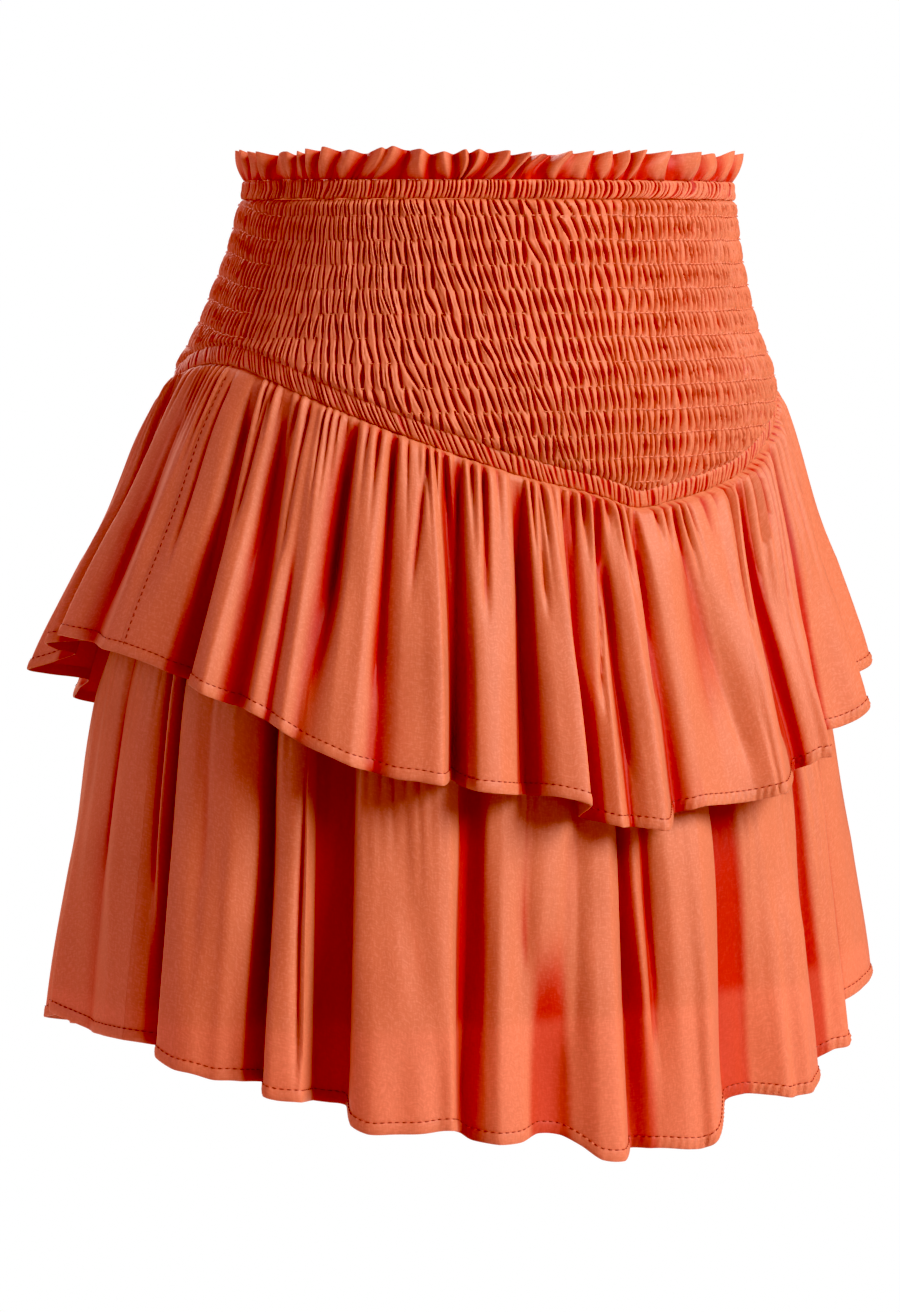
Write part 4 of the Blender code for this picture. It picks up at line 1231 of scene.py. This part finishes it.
def frill_loop():
    """Lines of the heading frill, all round: front by the table, back by a loop."""
    low, high = FRILL_BACK_OUT
    span = RIGHT_SEAM_DEG + 360.0 - LEFT_SEAM_DEG
    step = span / (2 * FRILL_BACK_WAVES)
    rng = np.random.default_rng(FRILL_BACK_SEED)
    behind = [
        (LEFT_SEAM_DEG + step * (k + rng.uniform(-0.38, 0.38) * (k > 0)),
         (high if k % 2 == 0 else low) * rng.uniform(0.5, 1.2))
        for k in range(2 * FRILL_BACK_WAVES)
    ]
    return np.array([(angle, out * MM) for angle, out in FRILL_FRONT_LINES[:-1]] + behind)


def make_frill(settings):
    """Heading frill: overlapping waves over the casing, pinched where they are sewn in."""
    loop = frill_loop()
    front_rows = len(FRILL_FRONT_LINES) - 1
    low, high = FRILL_BACK_OUT
    for side, first, last in (("front", 0, front_rows), ("back", front_rows, len(loop))):
        places = np.linspace(first + 0.006, last - 0.006, settings.frill_columns)
        rows = loop_at(loop, places, turning=1, crispness=0.25)
        angle, edge_out = rows[:, 0], rows[:, 1]
        crest = np.clip((edge_out - low) / (high - low), 0.0, 1.0)
        ways = np.linspace(1.0, 0.0, settings.frill_rows)
        uneven = level_noise(angle, 38, FRILL_SEED + 1)
        height = FRILL_HEIGHT * (0.85 + 0.13 * crest + 0.17 * uneven)
        # Waves that stand out at the free edge, deeper inwards than outwards.
        wave_height = settings.frill_wave * (
            0.95 + 0.65 * level_noise(angle, 42, FRILL_SEED + 5))
        out_at_edge = edge_out * wave_height * np.where(edge_out > 0.0, 1.0, 1.9)
        pinched = np.abs(np.cos(math.pi * angle * settings.casing_gathers / 720.0)) - 0.5

        # The waves lean and curl over one another, but stay straight at the side seams.
        lean = 2.2 + 3.8 * level_noise(angle, 30, FRILL_SEED + 3)
        curl = np.sin(math.pi * ways)
        turned = angle[:, None] - lean[:, None] * (1.0 - ways) ** 1.4
        turned = turned + 2.3 * level_noise(angle, 40, FRILL_SEED + 4)[:, None] * curl
        wave = out_at_edge[:, None] * (0.18 + 0.82 * ways**0.8) + 1.2 * MM * curl
        wave = wave + 1.1 * MM * pinched[:, None] * (1.0 - ways) ** 1.5
        turned = np.clip(turned, angle[0] - FRILL_MARGIN_DEG, angle[-1] + FRILL_MARGIN_DEG)
        ends = smooth(np.minimum(angle - angle[0], angle[-1] - angle) / 2.5)
        turned = angle[:, None] + (turned - angle[:, None]) * ends[:, None]
        out = FRILL_SEAT + FRILL_FLARE * ways + wave
        outer = form_points(turned, np.zeros_like(wave), out)
        outer[..., 2] = FRILL_SEAM_Z + height[:, None] * ways
        inner = inner_side(outer, FRILL_THICKNESS, level=True)
        # Painted shade in the waves' hollows and along the pinched seam.
        hollow = (1.0 - crest[:, None]) ** 1.1 * (1.0 - 0.2 * ways) + 0.6 * (1.0 - ways) ** 4
        node = "frill_" + side
        panel = cloth_shell(node + "_cloth", outer, inner, np.clip(hollow, 0.0, 1.0),
                            "gathered_cloth")
        dress(panel, node, "skirt_cloth", FLAT_CUTS["frill"], "gathered",
              rests_on=["waist_casing_" + side])


# ---- Lining ---------------------------------------------------------------------------
LINING_COLUMNS, LINING_ROWS = 110, 31
LINING_START = 0.0004       # it starts this far below the V seam
LINING_FOOT = 0.0009        # and this far off the body form


def make_lining(settings):
    """Plain lining from the V seam down, with soft waves that grow towards its hem."""
    for side, start_deg, end_deg in PANELS:
        angles = seam_angles(start_deg, end_deg, LINING_COLUMNS)
        top = v_seam_depth(angles)[:, None] + LINING_START
        depth = top + (LINING_HEM_DEPTH - top) * np.linspace(0.0, 1.0, LINING_ROWS)
        turned = angles[:, None] + np.zeros_like(depth)
        sway = lining_sway(depth) * ring_noise(turned, depth * 4.0, 18, LINING_SEED)
        out = lining_out(depth) * smooth((depth - top) / (4.0 * MM)) + LINING_FOOT
        outer = form_points(turned, depth, out + sway)
        inner = inner_side(outer, settings.cloth_thickness, level=True)
        node = "lining_" + side
        panel = cloth_shell(node + "_cloth", outer, inner, np.zeros(depth.shape), "plain_cloth")
        dress(panel, node, "lining_cloth", FLAT_CUTS["lining"], "hung",
              rests_on=["yoke_band_" + side])


# ---- Settings -------------------------------------------------------------------------
def size(name, description, default, **limits):
    """A length that the user can change."""
    return FloatProperty(name=name, description=description, default=default, unit="LENGTH",
                         precision=5, **limits)


def share(name, description, default):
    """A factor that the user can change."""
    return FloatProperty(name=name, description=description, default=default, min=0.0,
                         max=2.0, precision=3, subtype="FACTOR")


def number(name, description, default):
    """A whole number that the user can change."""
    return IntProperty(name=name, description=description, default=default, min=1)


def power(name, description, default):
    """A light's power that the user can change."""
    return FloatProperty(name=name, description=description, default=default, min=0.0,
                         subtype="POWER")


def colour(name, description, default):
    """A colour that the user can change."""
    return FloatVectorProperty(name=name, description=description, default=default, size=3,
                               min=0.0, max=1.0, subtype="COLOR")


class SkirtClothSettings(bpy.types.PropertyGroup):
    """Colours and finish of the cloth and threads, with the colours of its painted shade and
    its painted backlight.
    """

    colour: colour("Cloth", "Colour of the cloth on its ridges", (0.715, 0.240, 0.112))
    fibre_colour: colour("Fibres", "Paler fibres that catch the light", (0.95, 0.52, 0.36))
    # Painted shade: the colour mixed in deep between the folds.
    painted_shade_colour: colour("Hollows", "Colour deep between folds", (0.50, 0.018, 0.004))
    lining_colour: colour("Lining", "Colour of the lining", (0.60, 0.055, 0.018))
    # Painted backlight: the paler colour of the single layer below the lining's hem.
    backlit_colour: colour("Sheer cloth", "Single layer with light behind it",
                         (0.86, 0.280, 0.145))
    through_colour: colour("Light through", "Tint of light that passes through",
                           (0.95, 0.070, 0.012))
    hem_thread_colour: colour("Hem thread", "Thread of the hem stitches",
                              (0.40, 0.040, 0.016))
    row_thread_colour: colour("Row thread", "Thread over the elastic rows",
                              (0.92, 0.300, 0.160))
    roughness: share("Roughness", "Roughness of the cloth", 0.55)
    sheen: share("Sheen", "Soft sheen at grazing angles", 0.35)
    translucency: share("Translucency", "Share of the light that passes through", 0.22)
    # Painted backlight: how strongly it is mixed in.
    painted_backlight: share("Sheerness", "How much the single layer under the lining clears", 0.45)
    weave_contrast: share("Weave contrast", "How much the slubs vary in colour", 0.14)
    fibre_shine: share("Fibre shine", "Share of the paler fibres in the weave", 0.13)
    thread_pitch: size("Thread pitch", "Width of a slub in the weave", 0.00075)
    slub_length: size("Slub length", "Length of a slub in the weave", 0.0026)
    crumple_depth: size("Crumple depth", "Depth of the soft creases in the finish", 0.0012)


class SkirtYokeSettings(bpy.types.PropertyGroup):
    """Sizes of the smocked yoke."""

    rib_count: number("Ribs", "Smocked ribs all round", 226)
    rib_height: size("Rib height", "Height of the smocked ribs", 0.0038)
    yoke_columns: number("Columns", "Mesh columns in a panel", 1000)
    yoke_rows: number("Rows", "Mesh rows in a panel", 88)
    row_stitch_pitch: size("Row stitch pitch", "From one stitch of a row to the next", 0.0030)
    row_stitch_length: size("Row stitch length", "Length of a stitch of a row", 0.0031)
    row_thread_radius: size("Row thread radius", "Half width of a row's thread", 0.00023)


class SkirtTierSettings(bpy.types.PropertyGroup):
    """Sizes of the two gathered tiers and their hems."""

    height: size("Gather height", "Height of the small gathers under a seam", 0.0054)
    length: share("Gather length", "Share of the tier that the gathers run down", 0.34)
    count: number("Gathers", "Small gathers all round", 186)
    upper_columns: number("Upper columns", "Mesh columns in a panel of the upper tier", 700)
    lower_columns: number("Lower columns", "Mesh columns in a panel of the lower tier", 560)
    tier_rows: number("Rows", "Mesh rows in a panel", 41)
    cloth_thickness: size("Cloth thickness", "Thickness of the cloth shell", 0.0004)
    hem_columns: number("Hem columns", "Mesh columns in a hem", 900)
    rope_pitch: size("Rope pitch", "From one pucker of a hem to the next", 0.0033)
    rope_height: size("Rope height", "Height of the puckers of a hem", 0.00040)
    stitch_pitch: size("Stitch pitch", "From one hem stitch to the next", 0.0031)
    stitch_length: size("Stitch length", "Length of a hem stitch", 0.0023)
    thread_radius: size("Thread radius", "Half width of the hem thread", 0.00024)


class SkirtBandSettings(bpy.types.PropertyGroup):
    """Sizes of the waist casing, the yoke band and the heading frill."""

    casing_gathers: number("Casing gathers", "Gathers round the casing", 318)
    band_gathers: number("Band gathers", "Gathers round the yoke band", 335)
    band_columns: number("Band columns", "Mesh columns in a band panel", 1080)
    band_rows: number("Band rows", "Mesh rows in a band panel", 9)
    frill_columns: number("Frill columns", "Mesh columns in a frill", 640)
    frill_rows: number("Frill rows", "Mesh rows in a frill", 13)
    frill_wave: share("Frill wave", "How far the frill's waves stand out", 1.25)


class SkirtStageSettings(bpy.types.PropertyGroup):
    """Camera, light and floor."""

    distance: size("Distance", "From the camera to the waist", 1.7)
    turn: FloatProperty(name="Turn", description="Camera's turn from the centre front",
                        default=math.radians(38.0), subtype="ANGLE")
    key_power: power("Key light", "Power of the large soft light", 101.0)
    fill_power: power("Fill light", "Power of the light from the other side", 12.0)
    back_power: power("Back light", "Power of the light behind the skirt", 58.0)
    black_level: share("Black level", "Light that the render shows as black", 0.034)
    ambient: share("Ambient", "Strength of the even light", 0.36)
    ambient_tint: colour("Ambient tint", "Warm light thrown back between the folds",
                         (1.0, 0.17, 0.28))


# ---- Stage ----------------------------------------------------------------------------
FRAME_WIDTH, FRAME_HEIGHT = 900, 1312   # pixels of the frame
PIXEL_AT_WAIST = 0.000446               # size of a pixel at the waist's distance, in metres
HORIZON_Y = 225.0                       # the frame's row at the camera's own height
WAIST_X, WAIST_Y = 492.0, 190.0         # place of the waist's middle in the frame
SENSOR = 36.0
FLOOR_Z = -0.95
WHITE = (1.0, 1.0, 1.0, 1.0)

# The lights: name, place, aim, width, tint.
LIGHTS = (
    ("key", (0.87, -2.15, 1.4), (0.0, 0.0, -0.18), 1.7, (1.0, 0.99, 0.97)),
    ("fill", (-2.0, 1.0, 0.4), (0.0, 0.0, -0.2), 1.6, (0.97, 0.98, 1.0)),
    ("back", (0.5, 2.3, 1.3), (0.0, 0.0, -0.18), 1.9, (1.0, 0.99, 0.97)),
)


def make_camera(settings):
    """Camera to the right of the centre front, level in roll and pitched down to the skirt."""
    focal = settings.distance / PIXEL_AT_WAIST
    tilt = math.atan((FRAME_HEIGHT / 2 - HORIZON_Y) / focal)
    yaw = -math.atan((WAIST_X - FRAME_WIDTH / 2) / focal * math.cos(tilt))
    height = (WAIST_Y - HORIZON_Y) * PIXEL_AT_WAIST
    turn = settings.turn
    ahead = Vector((math.sin(turn), math.cos(turn), 0.0))
    side = Vector((math.cos(turn), -math.sin(turn), 0.0))
    level = math.cos(yaw) * ahead + math.sin(yaw) * side
    right = math.cos(yaw) * side - math.sin(yaw) * ahead
    up = math.sin(tilt) * level + Vector((0.0, 0.0, math.cos(tilt)))
    back = -(math.cos(tilt) * level - Vector((0.0, 0.0, math.sin(tilt))))
    data = bpy.data.cameras.new("camera")
    data.sensor_width = SENSOR
    data.lens = focal * SENSOR / FRAME_HEIGHT
    camera = bpy.data.objects.new("camera", data)
    place = -ahead * settings.distance + Vector((0.0, 0.0, height))
    turned = Matrix((right, up, back)).transposed().to_4x4()
    camera.matrix_world = Matrix.Translation(place) @ turned
    bpy.context.scene.collection.objects.link(camera)
    bpy.context.scene.camera = camera


def make_lights(settings):
    """A large soft light from the upper right, weaker ones round it, a white surround."""
    for name, place, aim, width, painted_pocket_shade in LIGHTS:
        data = bpy.data.lights.new(name, "AREA")
        data.shape = "DISK"
        data.size = width
        data.energy = getattr(settings, name + "_power")
        data.color = painted_pocket_shade
        light = bpy.data.objects.new(name, data)
        light.location = place
        towards = Vector(aim) - Vector(place)
        light.rotation_euler = towards.to_track_quat("-Z", "Y").to_euler()
        bpy.context.scene.collection.objects.link(light)
    world = bpy.data.worlds.new("white surround")
    bpy.context.scene.world = world
    world.use_nodes = True
    nodes, links = world.node_tree.nodes, world.node_tree.links
    nodes.clear()
    seen = nodes.new("ShaderNodeLightPath")
    white, dim = nodes.new("ShaderNodeBackground"), nodes.new("ShaderNodeBackground")
    white.inputs["Color"].default_value = WHITE
    white.inputs["Strength"].default_value = 1.0
    dim.inputs["Color"].default_value = (*settings.ambient_tint, 1.0)
    dim.inputs["Strength"].default_value = settings.ambient
    both = nodes.new("ShaderNodeMixShader")
    output = nodes.new("ShaderNodeOutputWorld")
    links.new(seen.outputs["Is Camera Ray"], both.inputs[0])
    links.new(dim.outputs[0], both.inputs[1])
    links.new(white.outputs[0], both.inputs[2])
    links.new(both.outputs[0], output.inputs["Surface"])


def make_floor():
    """Pale floor well below the hem, as white as the surround where the camera sees it."""
    bpy.ops.mesh.primitive_plane_add(size=40.0, location=(0.0, 0.0, FLOOR_Z))
    floor = bpy.context.object
    floor.name = "floor"
    shader = ShaderTree("pale_floor")
    seen = shader.node("ShaderNodeLightPath", output=0)
    glow = shader.node("ShaderNodeEmission", Color=WHITE, Strength=1.0)
    plain = shader.node("ShaderNodeBsdfDiffuse", Color=(0.7, 0.7, 0.7, 1.0))
    floor.data.materials.append(shader.finish(shader.blend(seen, plain, glow)))


# ---- Operators ------------------------------------------------------------------------
class SKIRT_OT_frill(bpy.types.Operator):
    """Heading frill over the waist casing"""

    bl_idname = "skirt.frill"
    bl_label = "Heading frill"

    def execute(self, context):
        make_frill(context.scene.skirt_bands)
        return {"FINISHED"}


class SKIRT_OT_casing(bpy.types.Operator):
    """Gathered casing of the waist elastic"""

    bl_idname = "skirt.casing"
    bl_label = "Waist casing"

    def execute(self, context):
        settings = context.scene.skirt_bands
        make_band("waist_casing", settings, walls=(0.0022, 0.0044),
                  count=settings.casing_gathers, top_depth=casing_top_depth,
                  height=CASING_HEIGHT / 2 + FRILL_SEAM_Z,
                  lean=casing_lean, curve=1.3, seed=CASING_SEED)
        return {"FINISHED"}


class SKIRT_OT_yoke(bpy.types.Operator):
    """Smocked yoke with its rows of elastic thread"""

    bl_idname = "skirt.yoke"
    bl_label = "Smocked yoke"

    def execute(self, context):
        make_yoke(context.scene.skirt_yoke)
        return {"FINISHED"}


class SKIRT_OT_yoke_band(bpy.types.Operator):
    """Gathered band along the V of the yoke"""

    bl_idname = "skirt.yoke_band"
    bl_label = "Yoke band"

    def execute(self, context):
        settings = context.scene.skirt_bands
        make_band("yoke_band", settings, walls=(0.0020, 0.0034),
                  count=settings.band_gathers, top_depth=band_top_depth,
                  height=BAND_HEIGHT,
                  lean=band_lean, curve=0.0, seed=BAND_SEED)
        return {"FINISHED"}


class SKIRT_OT_upper_tier(bpy.types.Operator):
    """Upper gathered tier with its hem"""

    bl_idname = "skirt.upper_tier"
    bl_label = "Upper tier"

    def execute(self, context):
        settings = context.scene.skirt_tiers
        tier = Tier(UPPER_FRONT_LINES, UPPER_BACK_LINES, UPPER_CREASES, UPPER_HEM_ELLIPSE,
                    seam_depth=v_seam_depth, seat_out=np.zeros_like, puff=UPPER_PUFF,
                    depth_gain=1.1, gathers=settings, gather_share=1.0,
                    columns=settings.upper_columns, seed=UPPER_SEED)
        make_tier(tier, "upper_tier", "gathered_cloth", settings,
                  rests_on=["yoke_band_front", "yoke_band_back"])
        return {"FINISHED"}


class SKIRT_OT_lower_tier(bpy.types.Operator):
    """Lower gathered tier with its hem"""

    bl_idname = "skirt.lower_tier"
    bl_label = "Lower tier"

    def execute(self, context):
        settings = context.scene.skirt_tiers
        tier = Tier(LOWER_FRONT_LINES, LOWER_BACK_LINES, LOWER_CREASES, LOWER_HEM_ELLIPSE,
                    seam_depth=lower_seam_depth, seat_out=lining_out, puff=LOWER_PUFF,
                    depth_gain=1.5, gathers=settings, gather_share=0.5,
                    columns=settings.lower_columns, seed=LOWER_SEED)
        make_tier(tier, "lower_tier", "sheer_cloth", settings,
                  rests_on=["lining_front", "lining_back"])
        return {"FINISHED"}


class SKIRT_OT_lining(bpy.types.Operator):
    """Plain lining under both tiers"""

    bl_idname = "skirt.lining"
    bl_label = "Lining"

    def execute(self, context):
        make_lining(context.scene.skirt_tiers)
        return {"FINISHED"}


class SKIRT_OT_stage(bpy.types.Operator):
    """Camera, soft light and a pale floor"""

    bl_idname = "skirt.stage"
    bl_label = "Stage"

    def execute(self, context):
        settings = context.scene.skirt_stage
        make_camera(settings)
        make_lights(settings)
        make_floor()
        view = context.scene.view_settings
        view.view_transform = "Standard"
        view.use_curve_mapping = True
        view.curve_mapping.black_level = (settings.black_level,) * 3
        view.curve_mapping.update()
        return {"FINISHED"}


class SKIRT_PT_panel(bpy.types.Panel):
    """Lists the skirt's pieces in the sidebar"""

    bl_idname = "SKIRT_PT_panel"
    bl_label = "Tiered ruffle skirt"
    bl_space_type = "VIEW_3D"
    bl_region_type = "UI"
    bl_category = "Skirt"

    def draw(self, context):
        scene = context.scene
        for title, settings in (("Cloth", scene.skirt_cloth), ("Yoke", scene.skirt_yoke),
                                ("Tiers", scene.skirt_tiers), ("Bands", scene.skirt_bands),
                                ("Stage", scene.skirt_stage)):
            box = self.layout.box()
            box.label(text=title)
            for key in settings.__annotations__:
                box.prop(settings, key)
        for operator in PIECES:
            self.layout.operator(operator.bl_idname)


PIECES = (
    SKIRT_OT_stage, SKIRT_OT_frill, SKIRT_OT_casing, SKIRT_OT_yoke, SKIRT_OT_yoke_band,
    SKIRT_OT_lining, SKIRT_OT_lower_tier, SKIRT_OT_upper_tier,
)
SETTINGS = {
    "skirt_cloth": SkirtClothSettings,
    "skirt_yoke": SkirtYokeSettings,
    "skirt_tiers": SkirtTierSettings,
    "skirt_bands": SkirtBandSettings,
    "skirt_stage": SkirtStageSettings,
}


def register():
    """Registers the settings, the operators and the panel."""
    for kind in (*SETTINGS.values(), *PIECES, SKIRT_PT_panel):
        bpy.utils.register_class(kind)
    for name, kind in SETTINGS.items():
        setattr(bpy.types.Scene, name, PointerProperty(type=kind))


def unregister():
    """Takes away what register added."""
    for name in SETTINGS:
        delattr(bpy.types.Scene, name)
    for kind in reversed((*SETTINGS.values(), *PIECES, SKIRT_PT_panel)):
        bpy.utils.unregister_class(kind)


def main():
    """Builds the stage and the skirt."""
    register()
    bpy.ops.skirt.stage()
    bpy.ops.skirt.frill()
    bpy.ops.skirt.casing()
    bpy.ops.skirt.yoke()
    bpy.ops.skirt.yoke_band()
    bpy.ops.skirt.lining()
    bpy.ops.skirt.lower_tier()
    bpy.ops.skirt.upper_tier()


if __name__ == "__main__":
    main()
